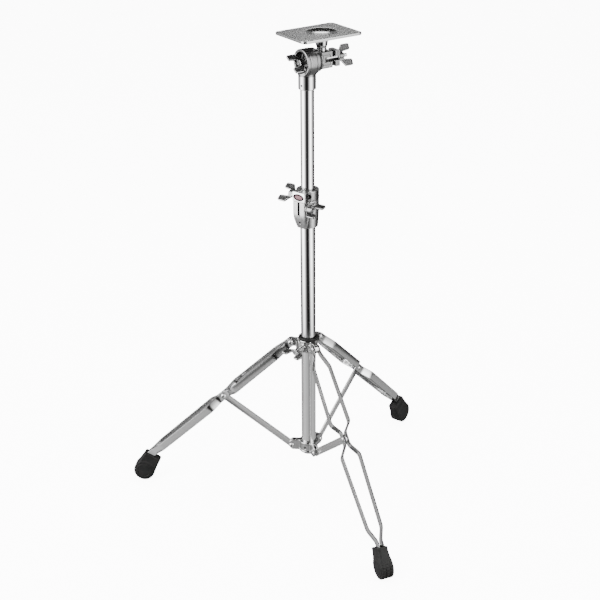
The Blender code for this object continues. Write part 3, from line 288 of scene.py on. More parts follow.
TUBE_CHROME = polished_chrome("tube_chrome", shade=0.9, rough=0.03, wave=0, streak=(1, 1, 0.03),
                              painted_edge_light=1)
LOWER_CHROME = polished_chrome("lower_tube_chrome", shade=0.84, rough=0.05, wave=0, streak=(1, 1, 0.03),
                               painted_edge_light=1)
# strip and brace edges: an edge factor below 1 paints a dark outline, painted shade
STRIP_CHROME = polished_chrome("strip_chrome", shade=0.72, rough=0.13, wave=0.04, streak=(0.04, 1, 1),
                               painted_edge_light=0.5)
# near-black skin of the strips' narrow sides: painted shade for their dark reflections
SIDE_SHADE_PAINT = polished_chrome("strip_side_painted_shade", shade=0.05, rough=0.22, wave=0.05, streak=(0.04, 1, 1))
BRACE_CHROME = polished_chrome("brace_chrome", shade=0.75, rough=0.15, wave=0.04, streak=(0.04, 1, 1),
                               painted_edge_light=0.22)
RIVET_CHROME = polished_chrome("rivet_chrome", shade=0.75, rough=0.08, wave=0.02)
BADGE_CHROME = polished_chrome("badge_chrome", shade=0.85, rough=0.2, wave=0.01)
STEM_CHROME = polished_chrome("stem_chrome", shade=0.45, rough=0.07, wave=0.01)
CASTING = cast_chrome("casting", shade=0.2, rough=0.13, pebble=0.2)
CLAMP_CASTING = cast_chrome("clamp_casting", shade=0.4, rough=0.2, pebble=0.12)
COLLAR_CASTING = cast_chrome("collar_casting", shade=0.5, rough=0.04, pebble=0.32)
DRUM_CASTING = cast_chrome("drum_casting", shade=0.22, rough=0.14, pebble=0.14)
WING_CASTING = cast_chrome("wing_casting", shade=0.24, rough=0.14, pebble=0.12)
# darker skin of the wings' sunk panels: painted shade in the recesses
WING_PANEL_SHADE = cast_chrome("wing_panel_painted_shade", shade=0.045, rough=0.3, pebble=0.5)
# near-black skin inside saw cuts, holes and sockets: painted shadow
SLOT_SHADOW_PAINT = cast_chrome("slot_painted_shadow", shade=0.02, rough=0.5, pebble=0.2)
SLEEVE_CHROME = polished_chrome("sleeve_chrome", shade=0.6, rough=0.04, wave=0, painted_edge_light=1)
PLATE_STEEL = brushed_plate("plate_steel")
RUBBER = moulded_rubber("foot_rubber", shade=0.006)
RING_RUBBER = moulded_rubber("ring_rubber", shade=0.004)
NYLON = moulded_nylon("nylon")
BLACK_STEEL = black_oxide("black_steel")
BADGE_BLACK = enamel("badge_black", (0.006, 0.002, 0.003, 1), (0.015, 0.006, 0.008, 1), 0.65)
BADGE_ROSE = enamel("badge_rose", (0.3, 0.16, 0.18, 1), (0.4, 0.26, 0.28, 1), 0.6)


# ---------------------------------------------------------------- distance fields
# A field gives, at points x, y, z, the distance to a surface: below zero inside the piece.

def soft_min(a, b, blend):
    """Union of two fields, with a fillet of about blend."""
    share = np.clip(0.5 + 0.5 * (b - a) / blend, 0, 1)
    return b * (1 - share) + a * share - blend * share * (1 - share)


def soft_max(a, b, blend):
    return -soft_min(-a, -b, blend)


def carve(a, b, blend):
    """Field a with field b cut out of it."""
    return soft_max(a, -b, blend)


def rounded(d, h, edge):
    """Joins the two distances of a prism or disc, with rounded edges."""
    d = d + edge
    h = h + edge
    return np.minimum(np.maximum(d, h), 0) + np.hypot(np.maximum(d, 0), np.maximum(h, 0)) - edge


def disc(x, y, z, radius, bottom, top, edge=0.5 * MM):
    """Round bar along z."""
    return rounded(np.hypot(x, y) - radius, np.abs(z - (bottom + top) / 2) - (top - bottom) / 2, edge)


def brick(x, y, z, lows, highs, edge=0.5 * MM):
    outside = 0
    most = -1e9
    for value, a, b in zip((x, y, z), lows, highs):
        d = np.abs(value - (a + b) / 2) - (b - a) / 2 + edge
        outside = outside + np.maximum(d, 0) ** 2
        most = np.maximum(most, d)
    return np.minimum(most, 0) + np.sqrt(outside) - edge


def hexagon(x, y, half):
    """Six-sided bar along z, half its width across flats."""
    flats = [np.abs(x * math.cos(i * TAU / 6) + y * math.sin(i * TAU / 6)) - half for i in range(3)]
    return np.maximum(np.maximum(flats[0], flats[1]), flats[2])


def polygon(x, y, points):
    """Distance to a closed outline."""
    nearest = np.full(np.broadcast(x, y).shape, 1e9)
    inside = np.zeros(nearest.shape, bool)
    for (ax, ay), (bx, by) in zip(points, points[1:] + points[:1]):
        ex, ey = bx - ax, by - ay
        share = np.clip(((x - ax) * ex + (y - ay) * ey) / (ex * ex + ey * ey), 0, 1)
        nearest = np.minimum(nearest, (x - ax - ex * share) ** 2 + (y - ay - ey * share) ** 2)
        if ay != by:
            crosses = (ay > y) != (by > y)
            inside ^= crosses & (x < (bx - ax) * (y - ay) / (by - ay) + ax)
    return np.where(inside, -1, 1) * np.sqrt(nearest)


def step(value, start, end):
    """Smooth 0 to 1 as value goes from start to end."""
    share = np.clip((value - start) / (end - start), 0, 1)
    return share * share * (3 - 2 * share)


def turned_xy(x, y, angle):
    """Coordinates in a frame turned by angle about z."""
    return x * math.cos(angle) + y * math.sin(angle), y * math.cos(angle) - x * math.sin(angle)


def settle(field, points, reach, rounds):
    """Moves points onto the field's surface."""
    for _ in range(rounds):
        nudge = 0.02 * reach
        value = field(*points.T)
        slope = np.empty_like(points)
        for axis in range(3):
            ahead = points.copy()
            ahead[:, axis] += nudge
            slope[:, axis] = (field(*ahead.T) - value) / nudge
        size = np.maximum((slope**2).sum(1), 0.05)
        move = -slope * (value / size)[:, None]
        length = np.maximum(np.linalg.norm(move, axis=1), 1e-12)
        points = points + move * np.minimum(1, 0.5 * reach / length)[:, None]
    return points


def skin(field, lows, highs, cell):
    """Even quads over the field's surface: (points, quads)."""
    lows = np.array(lows, float) - 1.5 * cell
    count = np.ceil((np.array(highs, float) + 1.5 * cell - lows) / cell).astype(int) + 1
    axes = [lows[i] + cell * np.arange(count[i]) for i in range(3)]
    value = field(*np.meshgrid(*axes, indexing="ij"))
    inside = value < 0
    shape = count - 1
    total = np.zeros(shape, int)
    for i in (0, 1):
        for j in (0, 1):
            for k in (0, 1):
                total += inside[i:i + shape[0], j:j + shape[1], k:k + shape[2]]
    mixed = (total > 0) & (total < 8)
    number = np.full(shape, -1)
    number[mixed] = np.arange(mixed.sum())
    amount = int(mixed.sum())
    sums = np.zeros((amount, 3))
    hits = np.zeros(amount)
    quads = []
    for axis in range(3):
        u, v = (axis + 1) % 3, (axis + 2) % 3
        first = np.moveaxis(value, axis, 0)[:-1]
        second = np.moveaxis(value, axis, 0)[1:]
        where = np.argwhere(np.moveaxis((first < 0) != (second < 0), 0, axis))
        here = value[tuple(where.T)]
        ahead = where.copy()
        ahead[:, axis] += 1
        there = value[tuple(ahead.T)]
        spot = lows + cell * where
        spot[:, axis] += cell * here / (here - there)
        ids = []
        for du, dv in ((0, 0), (-1, 0), (-1, -1), (0, -1)):
            corner = where.copy()
            corner[:, u] += du
            corner[:, v] += dv
            ids.append(number[tuple(np.clip(corner, 0, shape - 1).T)])
        quad = np.stack(ids, 1)
        quad[here > 0] = quad[here > 0][:, ::-1]
        quads.append(quad)
        for ring in ids:
            hits += np.bincount(ring, minlength=amount)
            for i in range(3):
                sums[:, i] += np.bincount(ring, weights=spot[:, i], minlength=amount)
    quads = np.concatenate(quads)
    points = settle(field, sums / hits[:, None], cell, 2)
    links = np.concatenate([quads, np.roll(quads, 1, axis=1)])
    near = np.concatenate([np.roll(quads, -1, axis=1), quads])
    degree = np.maximum(np.bincount(links.ravel(), minlength=amount), 1)
    for _ in range(2):
        mean = np.stack([np.bincount(links.ravel(), weights=points[near.ravel(), i], minlength=amount)
                         for i in range(3)], 1) / degree[:, None]
        points = settle(field, 0.4 * points + 0.6 * mean, cell, 2)
    return points, quads


def quad_mesh(name, points, quads):
    mesh = bpy.data.meshes.new(name)
    mesh.vertices.add(len(points))
    mesh.vertices.foreach_set("co", points.astype(np.float32).ravel())
    mesh.loops.add(quads.size)
    mesh.loops.foreach_set("vertex_index", quads.astype(np.int32).ravel())
    mesh.polygons.add(len(quads))
    mesh.polygons.foreach_set("loop_start", np.arange(0, quads.size, 4, dtype=np.int32))
    mesh.update(calc_edges=True)
    mesh.validate()
    mesh.shade_smooth()
    return mesh


def two_skins(mesh, base, other, picks):
    """Gives a mesh two materials. picks(x, y, z) is true where a face's middle takes the other one."""
    mesh.materials.append(base)
    mesh.materials.append(other)
    centres = np.empty(len(mesh.polygons) * 3)
    mesh.polygons.foreach_get("center", centres)
    mesh.polygons.foreach_set("material_index", picks(*centres.reshape(-1, 3).T).astype(np.int32))


def field_mesh(name, field, lows, highs, cell):
    return quad_mesh(name, *skin(field, lows, highs, cell))


# ---------------------------------------------------------------- turned, flat and swept meshes

def arc(centre, radius, start, end, steps):
    points = []
    for i in range(steps + 1):
        angle = start + (end - start) * i / steps
        points.append((centre[0] + radius * math.cos(angle), centre[1] + radius * math.sin(angle)))
    return points


def soften(points, radius, steps=4, closed=True):
    """Outline with its corners rounded. A corner's trim is never more than 0.45 of its shorter side."""
    result = []
    last = len(points)
    for i, point in enumerate(points):
        if not closed and i in (0, last - 1):
            result.append(tuple(point))
            continue
        here = Vector(point)
        before = Vector(points[i - 1]) - here
        after = Vector(points[(i + 1) % last]) - here
        trim = min(radius, 0.45 * before.length, 0.45 * after.length)
        start = here + before.normalized() * trim
        end = here + after.normalized() * trim
        for k in range(steps + 1):
            share = k / steps
            first = start.lerp(here, share)
            second = here.lerp(end, share)
            result.append(tuple(first.lerp(second, share)))
    return result


def lathe_mesh(name, profile, segments=96, closed=True):
    """Turned mesh from (radius, height) points. Points on the axis become single vertices."""
    work = bmesh.new()
    rings = []
    for radius, height in profile:
        if radius < 1e-7:
            rings.append([work.verts.new((0, 0, height))])
        else:
            rings.append([work.verts.new((radius * math.cos(TAU * i / segments),
                                          radius * math.sin(TAU * i / segments), height))
                          for i in range(segments)])
    closing = [(rings[-1], rings[0])] if closed and len(rings[0]) > 1 else []
    for one, two in list(zip(rings, rings[1:])) + closing:
        for i in range(segments):
            j = (i + 1) % segments
            corners = [one[i % len(one)], one[j % len(one)], two[j % len(two)], two[i % len(two)]]
            unique = [v for k, v in enumerate(corners) if v not in corners[:k]]
            if len(unique) > 2:
                work.faces.new(unique)
    bmesh.ops.recalc_face_normals(work, faces=work.faces)
    mesh = bpy.data.meshes.new(name)
    work.to_mesh(mesh)
    work.free()
    mesh.shade_smooth()
    mesh.set_sharp_from_angle(angle=math.radians(38))
    return mesh


def flat_mesh(name, loops, thickness, edge):
    """Plate in the XY plane with rounded edges, centred on z = 0."""
    curve = bpy.data.curves.new(name, "CURVE")
    curve.dimensions = "2D"
    curve.fill_mode = "BOTH"
    curve.extrude = thickness / 2 - edge
    curve.bevel_depth = edge
    curve.bevel_resolution = 2
    curve.offset = -edge
    for loop in loops:
        spline = curve.splines.new("POLY")
        spline.points.add(len(loop) - 1)
        for point, (x, y) in zip(spline.points, loop):
            point.co = (x, y, 0, 1)
        spline.use_cyclic_u = True
    holder = bpy.data.objects.new(name, curve)
    mesh = bpy.data.meshes.new_from_object(holder)
    bpy.data.objects.remove(holder, do_unlink=True)
    bpy.data.curves.remove(curve)
    work = bmesh.new()
    work.from_mesh(mesh)
    bmesh.ops.remove_doubles(work, verts=work.verts, dist=0.002 * MM)
    bmesh.ops.recalc_face_normals(work, faces=work.faces)
    work.to_mesh(mesh)
    work.free()
    mesh.name = name
    mesh.shade_smooth()
    mesh.set_sharp_from_angle(angle=math.radians(50))
    return mesh


def strip_mesh(name, path, half_width, thickness, edge):
    """Flat bar with rounded edges swept along a path in XY, its width along z. half_width(s) gives
    half the width at distance s along the path. Its two narrow sides, the sheared edges, take a near-black
    skin: painted shade."""
    work = bmesh.new()
    rings = []
    run = 0.0
    for i, point in enumerate(path):
        here = Vector(point)
        before = here - Vector(path[i - 1]) if i else Vector(path[1]) - here
        after = Vector(path[i + 1]) - here if i + 1 < len(path) else before
        run += before.length if i else 0
        along = (before.normalized() + after.normalized()).normalized()
        side = Vector((-along.y, along.x)) / max(along.dot(before.normalized()), 0.7)
        half = max(half_width(run), 0.4 * MM)
        trim = min(edge, half * 0.8)
        ring = []
        for sx, sz in ((-1, -1), (1, -1), (1, 1), (-1, 1)):
            corner_x = sx * (thickness / 2 - trim)
            corner_z = sz * (half - trim)
            start = {(-1, -1): 0.5, (1, -1): 0.75, (1, 1): 0.0, (-1, 1): 0.25}[(sx, sz)] * TAU
            for k in range(4):
                angle = start + k / 3 * TAU / 4
                x = corner_x + trim * math.cos(angle)
                z = corner_z + trim * math.sin(angle)
                ring.append(work.verts.new((here.x + side.x * x, here.y + side.y * x, z)))
        rings.append(ring)
    for one, two in zip(rings, rings[1:]):
        for i in range(len(one)):
            j = (i + 1) % len(one)
            face = work.faces.new((one[i], one[j], two[j], two[i]))
            # the narrow sides and their corners take the painted-shade skin
            face.material_index = 1 if 1 <= i % 8 <= 5 else 0      # a narrow side and its corners
    work.faces.new(rings[0][::-1])
    work.faces.new(rings[-1])
    bmesh.ops.recalc_face_normals(work, faces=work.faces)
    mesh = bpy.data.meshes.new(name)
    work.to_mesh(mesh)
    work.free()
    mesh.shade_smooth()
    mesh.set_sharp_from_angle(angle=math.radians(50))
    mesh.materials.append(STRIP_CHROME)
    mesh.materials.append(SIDE_SHADE_PAINT)
    return mesh


def add_piece(name, mesh, material, body, nodes=(), matrix=None):
    """Links a mesh as a piece that rides on a body and stands for CAD nodes."""
    obj = bpy.data.objects.new(name, mesh)
    bpy.context.scene.collection.objects.link(obj)
    if material:
        obj.data.materials.clear()
        obj.data.materials.append(material)
    obj.matrix_world = Matrix.Translation(TUBE_AXIS) @ (matrix or Matrix())
    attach(obj, body)
    if nodes:
        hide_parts(*nodes)


def turned_piece(name, profile, material, body, nodes=(), matrix=None, segments=96):
    add_piece(name, lathe_mesh(name, profile, segments), material, body, nodes, matrix)


def field_piece(node, field, lows, highs, cell, materials, body, matrix=None, picks=None):
    """Piece meshed from a field. Where picks(x, y, z) is true it takes the second of its materials."""
    mesh = field_mesh(node + "_skin", field, lows, highs, cell)
    if picks:
        two_skins(mesh, *materials, picks)
    add_piece(node + "_skin", mesh, None if picks else materials, body, [node], matrix)


# ---------------------------------------------------------------- tubes and small turned parts

def ring(outer, inner, bottom, top, edge, steps=4):
    return soften([(inner, bottom), (outer, bottom), (outer, top), (inner, top)], edge, steps)


def make_tubes():
    wall = 1.2 * MM
    bottom, top = low("lower_tube").z, high("lower_tube").z
    turned_piece("lower_tube_skin", ring(LOWER_TUBE_RADIUS, LOWER_TUBE_RADIUS - wall, bottom, top, 0.4 * MM),
                 LOWER_CHROME, "base", ["lower_tube"], segments=160)
    bottom, top = low("upper_tube").z, high("upper_tube").z
    turned_piece("upper_tube_skin", ring(UPPER_TUBE_RADIUS, UPPER_TUBE_RADIUS - 1.5 * MM, bottom, top,
                                         0.4 * MM),
                 TUBE_CHROME, "mast", ["upper_tube"], segments=160)
    flange = high("tube_end_plug").z - 12 * MM - GAP
    base = low("tube_end_plug").z
    inner = LOWER_TUBE_RADIUS - wall - GAP
    profile = [(0, flange + 12 * MM), (inner, flange + 12 * MM), (inner, flange),
               (LOWER_TUBE_RADIUS, flange), (LOWER_TUBE_RADIUS, flange - 1 * MM),
               (LOWER_TUBE_RADIUS - 1.4 * MM, base), (6 * MM, base), (5 * MM, base + 1 * MM),
               (0, base + 1 * MM)]
    turned_piece("tube_end_plug_skin", soften(profile, 0.6 * MM, 3, closed=False), NYLON, "base",
                 ["tube_end_plug"], segments=64)


def rivet_profile(half, head=4.8 * MM, rise=1.6 * MM, shank=3.0 * MM):
    """Tubular rivet: a rolled ring round a hollow at each end."""
    hollow = 1.5 * MM
    end = [(0, half - 0.4 * MM), (hollow, half - 0.2 * MM), (hollow + 0.3 * MM, half + rise * 0.8)]
    end += arc((head * 0.62, half + rise * 0.45), rise * 0.55, TAU * 0.36, TAU * 0.06, 6)
    end += [(head * 0.98, half + 0.25 * MM), (head * 0.95, half), (shank, half)]
    return end + [(radius, -height) for radius, height in reversed(end)]


def make_rivet(node, half, body, matrix):
    """half is half the grip. Black discs just inside the hollow at each end are painted shadow standing for
    the bores.
    """
    name = node + "_skin"
    turned_piece(name, rivet_profile(half), RIVET_CHROME, body, [node], matrix @ ALONG_Y,
                 segments=48)
    floor = 0.35 * MM
    # black discs: painted shadow in the rivet's bores
    for side, end in ((1, "_bore_shadow_a"), (-1, "_bore_shadow_b")):
        level = side * (half - floor / 2)
        profile = [(0, level + floor), (1.35 * MM, level + floor), (1.35 * MM, level - floor / 3),
                   (0, level - floor / 3)]
        turned_piece(name + end, profile, BLACK_STEEL, body, matrix=matrix @ ALONG_Y,
                     segments=32)


def make_grub_screw(node, body, radius, length, matrix):
    """Headless screw along Z with a six-sided socket in its upper end."""
    socket = radius * 0.55
    socket_floor = length / 2 - 1.4 * MM

    def field(x, y, z):
        barrel = disc(x, y, z, radius, -length / 2, length / 2, 0.2 * MM)
        return carve(barrel, np.maximum(hexagon(x, y, socket), socket_floor - z), 0.1 * MM)

    field_piece(node, field, (-radius, -radius, -length / 2), (radius, radius, length / 2), radius / 12,
                BLACK_STEEL, body, matrix)


# ---------------------------------------------------------------- wing screws

WING_HUB_RADIUS = 6.6 * MM
WING_HUB_HEIGHT = 14 * MM
WING_ROOT_LOW = 4.0 * MM
WING_PADDLE_LOW = 13 * MM
WING_PADDLE_HIGH = 31 * MM
WING_PADDLE_INNER = 8 * MM
WING_TIP_RADIUS = 20.5 * MM
WING_HALF = 1.7 * MM


def wing_outline():
    """A blade's outline: distance from the screw's axis, and along it."""
    corner = 3.4 * MM
    tip, top, inner = WING_TIP_RADIUS, WING_PADDLE_HIGH, WING_PADDLE_INNER
    points = [(-2 * MM, WING_ROOT_LOW), (WING_HUB_RADIUS, WING_ROOT_LOW)]
    points += arc((tip - 3.0 * MM, WING_PADDLE_LOW + 2.5 * MM), 3.0 * MM, -TAU / 7, 0, 4)
    points += arc((tip - corner, top - corner), corner, 0, TAU / 4, 5)
    points += arc((inner + corner, top - corner), corner, TAU / 4, TAU / 2, 5)
    points += [(inner - 1.6 * MM, WING_HUB_HEIGHT - 1 * MM), (-2 * MM, WING_HUB_HEIGHT - 2 * MM)]
    return points


def wing_field(bore):
    outline = wing_outline()

    def field(x, y, z):
        out = np.abs(x)
        edge_distance = polygon(out, z, outline)
        panel = step(-edge_distance, 1.5 * MM, 2.3 * MM) * step(out, 7.5 * MM, 9.5 * MM)
        ribs = 0.5 + 0.5 * np.cos(z * TAU / (2.4 * MM))
        half = WING_HALF - panel * (0.75 * MM - 0.4 * MM * ribs)
        blade = rounded(edge_distance, np.abs(y) - half, 0.8 * MM)
        waist = 0.9 * MM * step(z, 2.4 * MM, 4.0 * MM)
        hub = disc(x, y, z, WING_HUB_RADIUS - waist, 0, WING_HUB_HEIGHT, 0.9 * MM)
        flange = disc(x, y, z, WING_HUB_RADIUS, 0, 2.4 * MM, 0.6 * MM)
        shape = soft_min(soft_min(hub, blade, 2.6 * MM), flange, 0.5 * MM)
        top_dimple = disc(x, y, z, 2.6 * MM, WING_HUB_HEIGHT - 1 * MM, WING_HUB_HEIGHT + 4 * MM, 0.3 * MM)
        shape = carve(shape, top_dimple, 0.4 * MM)
        shape = np.maximum(shape, -z)
        if bore:
            shape = carve(shape, np.hypot(x, y) - bore, 0.3 * MM)
        return shape

    return field


def wing_body(bore):
    reach = WING_TIP_RADIUS
    return skin(wing_field(bore), (-reach, -WING_HUB_RADIUS, 0), (reach, WING_HUB_RADIUS, WING_PADDLE_HIGH),
                0.42 * MM)


SOLID_WING = wing_body(0)
BOLT_BORE_WING = wing_body(PIVOT_BORE)
STUD_BORE_WING = wing_body(3.7 * MM)


def facing(azimuth, spin):
    """Rotation with local Z level along an azimuth, and local X turned by spin from level."""
    axis = polar(azimuth, 1)
    level = polar(azimuth + TAU / 4, 1)
    across_axis = level * math.cos(spin) + Vector((0, 0, math.sin(spin)))
    return Matrix((across_axis, axis.cross(across_axis), axis)).transposed().to_4x4()


def sunk_panel(x, y, z):
    """True on the ribbed panels of the blades."""
    inside = -polygon(np.abs(x), z, wing_outline())
    return (inside > 1.6 * MM) & (np.abs(x) > 8.3 * MM) & (np.abs(y) < WING_HALF - 0.05 * MM)


def make_wing(node, shape, body, matrix, shank=None):
    """shank is (radius, length) of the screw behind the hub, or None for a nut."""
    name = node + "_skin"
    mesh = quad_mesh(name, *shape)
    # the sunk panels take the darker skin: painted shade
    two_skins(mesh, WING_CASTING, WING_PANEL_SHADE, sunk_panel)
    if shank:
        radius, length = shank
        profile = [(0, 3 * MM), (radius, 3 * MM)]
        for i in range(int((length - 2 * MM) / SCREW_PITCH)):
            level = -0.4 * MM - i * SCREW_PITCH
            profile += [(radius, level), (radius - 0.45 * MM, level - SCREW_PITCH / 2)]
        profile += [(radius, 0.8 * MM - length), (radius - 0.8 * MM, -length), (0, -length)]
        thread = lathe_mesh(name + "_thread", profile, 32)
        work = bmesh.new()
        work.from_mesh(mesh)
        work.from_mesh(thread)
        work.to_mesh(mesh)
        work.free()
        bpy.data.meshes.remove(thread)
    add_piece(name, mesh, None, body, [node], matrix)


# ---------------------------------------------------------------- tripod

STRIP_THICKNESS = 2.6 * MM
STRIP_WIDTH = 15.8 * MM
LUG_OFFSET = 5.6 * MM
JOINT_OFFSET = 4.1 * MM
NECK_OFFSET = 4.4 * MM
STRIP_LENGTH = 404 * MM
FOOT_RADIUS = 21.3 * MM
FOOT_WIDTH = 26 * MM
FOOT_REACH = 340 * MM
FOOT_BEND = math.radians(17.5)
FOOT_NECK = 38 * MM                # from the disc's centre to the neck's mouth


def fine_path(corners, radius, spacing):
    """Path with rounded bends, cut up evenly between them."""
    path = soften(corners, radius, 8, closed=False)
    result = [path[0]]
    for a, b in zip(path, path[1:]):
        pieces = max(1, round((Vector(b) - Vector(a)).length / spacing))
        result += [tuple(Vector(a).lerp(Vector(b), (i + 1) / pieces)) for i in range(pieces)]
    return result


def make_strip(place, hand, side):
    joint = LEG_TO_JOINT
    half = STRIP_WIDTH / 2
    nose = [(-8.0 * MM + 8.0 * MM * (1 - math.cos(i / 10 * TAU / 4)), LUG_OFFSET) for i in range(10)]
    corners = nose + [(11 * MM, LUG_OFFSET), (40 * MM, 16.5 * MM), (joint - 31 * MM, 18.7 * MM),
                      (joint - 12.5 * MM, JOINT_OFFSET), (joint + 13 * MM, JOINT_OFFSET),
                      (joint + 34 * MM, 18.3 * MM), (363 * MM, 14.2 * MM), (387 * MM, NECK_OFFSET),
                      (STRIP_LENGTH, NECK_OFFSET)]
    start = fine_path(corners[:10], 0, 1)
    rest = fine_path(corners[9:], 5 * MM, 6 * MM)
    path = [(x, side * y) for x, y in start[:-1] + rest]

    def half_width(run):
        back = max(8.0 * MM - run, 0)
        return half * math.sqrt(max(1 - (back / (8.0 * MM)) ** 2, 0.0))

    name = "leg_strip_" + place + "_" + hand
    mesh = strip_mesh(name + "_skin", path, half_width, STRIP_THICKNESS, 0.75 * MM)
    add_piece(name + "_skin", mesh, None, "leg_" + place, [name], LEG_FRAMES[place])


def foot_field(x, y, z):
    """Disc in the leg's plane with a ribbed rim, a stepped face and a neck; X runs to the neck."""
    radius = np.hypot(x, z)
    around = np.arctan2(z, x)
    half = FOOT_WIDTH / 2
    away_from_neck = step(np.abs(around), 0.62, 0.78)
    blocks = 22
    across = 0.5 + 0.5 * np.cos(around * blocks)
    groove = step(across, 0.12, 0.34)
    lanes = step(np.abs(np.abs(y) - 4.4 * MM), 0.5 * MM, 1.0 * MM)
    tread = 1.5 * MM * (1 - groove * lanes) * away_from_neck * step(half - 1.6 * MM - np.abs(y), 0, 1 * MM)
    rim = rounded(radius - FOOT_RADIUS + tread, np.abs(y) - half + 1.1 * MM, 2.2 * MM)
    face = rounded(radius - FOOT_RADIUS + 5.2 * MM, np.abs(y) - half, 1.2 * MM)
    shape = soft_min(rim, face, 0.6 * MM)
    ledge = np.abs(radius - 11.5 * MM) - 0.55 * MM
    ledge = np.maximum(ledge, np.abs(np.abs(y) - half) - 0.7 * MM)
    shape = carve(shape, ledge, 0.5 * MM)
    share = np.clip(x / FOOT_NECK, 0, 1)
    wide = 20.6 * MM - share * 3.1 * MM
    deep = half - 1.6 * MM - step(x, 8 * MM, 34 * MM) * (half - 11.1 * MM)
    neck = rounded(np.abs(z) - wide, np.abs(y) - deep, 3.6 * MM)
    neck = soft_max(neck, np.maximum(x - FOOT_NECK, -x), 1.6 * MM)
    lip = rounded(np.abs(z) - wide, np.abs(y) - deep - 0.2 * MM, 3.6 * MM)
    lip = soft_max(lip, np.abs(x - 35.6 * MM) - 2.2 * MM, 1.0 * MM)
    return soft_min(shape, soft_min(neck, lip, 0.6 * MM), 3.0 * MM)


def make_feet():
    drop = UPPER_PIVOT.z - FOOT_RADIUS
    out = FOOT_REACH - PIVOT_REACH
    centre = Vector((out * math.cos(LEG_SLOPE) + drop * math.sin(LEG_SLOPE), 0,
                     out * math.sin(LEG_SLOPE) - drop * math.cos(LEG_SLOPE)))
    turn = placed(centre, (0, math.pi + FOOT_BEND, 0))
    half_socket = NECK_OFFSET + STRIP_THICKNESS / 2 + GAP
    wide_socket = STRIP_WIDTH / 2 + GAP
    forward = [[float(turn[i][j]) for j in range(4)] for i in range(4)]

    def field(x, y, z):
        shape = foot_field(x, y, z)
        leg = [forward[i][0] * x + forward[i][1] * y + forward[i][2] * z + forward[i][3] for i in range(3)]
        socket = brick(*leg, (360 * MM, -half_socket, -wide_socket),
                       (STRIP_LENGTH + GAP, half_socket, wide_socket), 0.3 * MM)
        return carve(shape, socket, 0.8 * MM)

    reach = FOOT_RADIUS
    shape = skin(field, (-reach, -FOOT_WIDTH / 2, -reach), (FOOT_NECK + 1 * MM, FOOT_WIDTH / 2, reach),
                 0.55 * MM)
    for place in LEGS:
        mesh = quad_mesh("foot_" + place + "_skin", *shape)
        mesh.transform(LEG_FRAMES[place] @ turn)
        add_piece("foot_" + place + "_skin", mesh, RUBBER, "leg_" + place, ["foot_" + place])


def make_brace(place):
    half = 7.25 * MM
    eye = 8.0 * MM
    length = BRACE_LENGTH
    outline = arc((0, 0), half, TAU / 4, 3 * TAU / 4, 16)
    outline += [(length - 20 * MM, -half), (length - 12 * MM, -half * 0.98)]
    outline += arc((length, 0), eye, -TAU / 4 - 0.3, TAU / 4 + 0.3, 20)
    outline += [(length - 12 * MM, half * 0.98), (length - 20 * MM, half)]
    play = 0 if place == "front" else 2.1 * MM     # the side loops are opened at this rivet
    loops = [outline, arc((0, 0), PIVOT_BORE, 0, TAU, 24)[:-1],
             arc((length, 0), PIVOT_BORE + play, 0, TAU, 24)[:-1]]
    mesh = flat_mesh("brace_" + place + "_skin", loops, 3.0 * MM, 0.7 * MM)
    mesh.transform(Matrix.Rotation(math.pi / 2, 4, "X"))
    add_piece("brace_" + place + "_skin", mesh, BRACE_CHROME, "brace_" + place, ["brace_" + place],
              BRACE_FRAMES[place])


def make_tripod():
    for place in LEGS:
        for hand, side in (("a", 1), ("b", -1)):
            make_strip(place, hand, side)
        make_brace(place)
        joint = LEG_FRAMES[place] @ Matrix.Translation((LEG_TO_JOINT, 0, 0))
        make_rivet("joint_rivet_" + place, JOINT_OFFSET + STRIP_THICKNESS / 2 + GAP, "leg_" + place, joint)
        make_rivet("leg_rivet_" + place, LUG_OFFSET + STRIP_THICKNESS / 2 + GAP, "collar",
                   LEG_FRAMES[place])
        make_rivet("bracket_pin_" + place, BRACKET_EAR_HALF + GAP, "base", BRACE_FRAMES[place])
    make_feet()


EAR_REACH = 38.5 * MM
BRACKET_EAR_HALF = 5.4 * MM
BRACKET_SCREW_ANGLE = math.radians(-140)


def bracket_field(x, y, z):
    """Ring with a pair of ears for each brace."""
    middle = (low("leg_bracket").z + high("leg_bracket").z) / 2
    half = (high("leg_bracket").z - low("leg_bracket").z) / 2
    z = z - middle
    waist = 0.9 * MM * step(half - 3.4 * MM - np.abs(z), 0, 1.2 * MM)
    shape = disc(x, y, z, 19.0 * MM, -half, half, 1.0 * MM) + waist
    for angle in LEGS.values():
        out, aside = turned_xy(x, y, angle)
        ear_box = np.maximum(np.abs(z) - half, out - EAR_REACH)
        ear = rounded(ear_box, np.abs(aside) - BRACKET_EAR_HALF, 1.0 * MM)
        ear = np.maximum(ear, -(out - 12 * MM))
        shape = soft_min(shape, ear, 2.2 * MM)
        slot = brick(out, aside, z, (25.6 * MM, -2.1 * MM, -1), (1, 2.1 * MM, 1), 0.2 * MM)
        shape = carve(shape, slot, 0.7 * MM)
        corner = (out - EAR_REACH + 5 * MM) + (np.abs(z) - half + 5 * MM) - 5.5 * MM
        shape = soft_max(shape, corner * 0.7, 2.0 * MM)
    shape = carve(shape, np.hypot(x, y) - LOWER_TUBE_RADIUS - GAP, 0.6 * MM)
    out, aside = turned_xy(x, y, BRACKET_SCREW_ANGLE)
    hole = np.maximum(np.hypot(aside, z) - 2.8 * MM, 12 * MM - out)
    return carve(shape, hole, 0.5 * MM)


def make_bracket():
    bottom, top = low("leg_bracket").z, high("leg_bracket").z
    reach = EAR_REACH + 0.5 * MM
    field_piece("leg_bracket", bracket_field, (-reach, -reach, bottom), (reach, reach, top), 0.55 * MM,
                COLLAR_CASTING, "base")
    make_grub_screw("bracket_screw", "base", 2.5 * MM, 3.6 * MM,
                    placed(polar(BRACKET_SCREW_ANGLE, 16.6 * MM, (bottom + top) / 2),
                           (0, math.pi / 2, BRACKET_SCREW_ANGLE)))


COLLAR_SCREW_HEIGHT = 322 * MM
COLLAR_BOSS_END = 30 * MM
COLLAR_BORE = 15.8 * MM


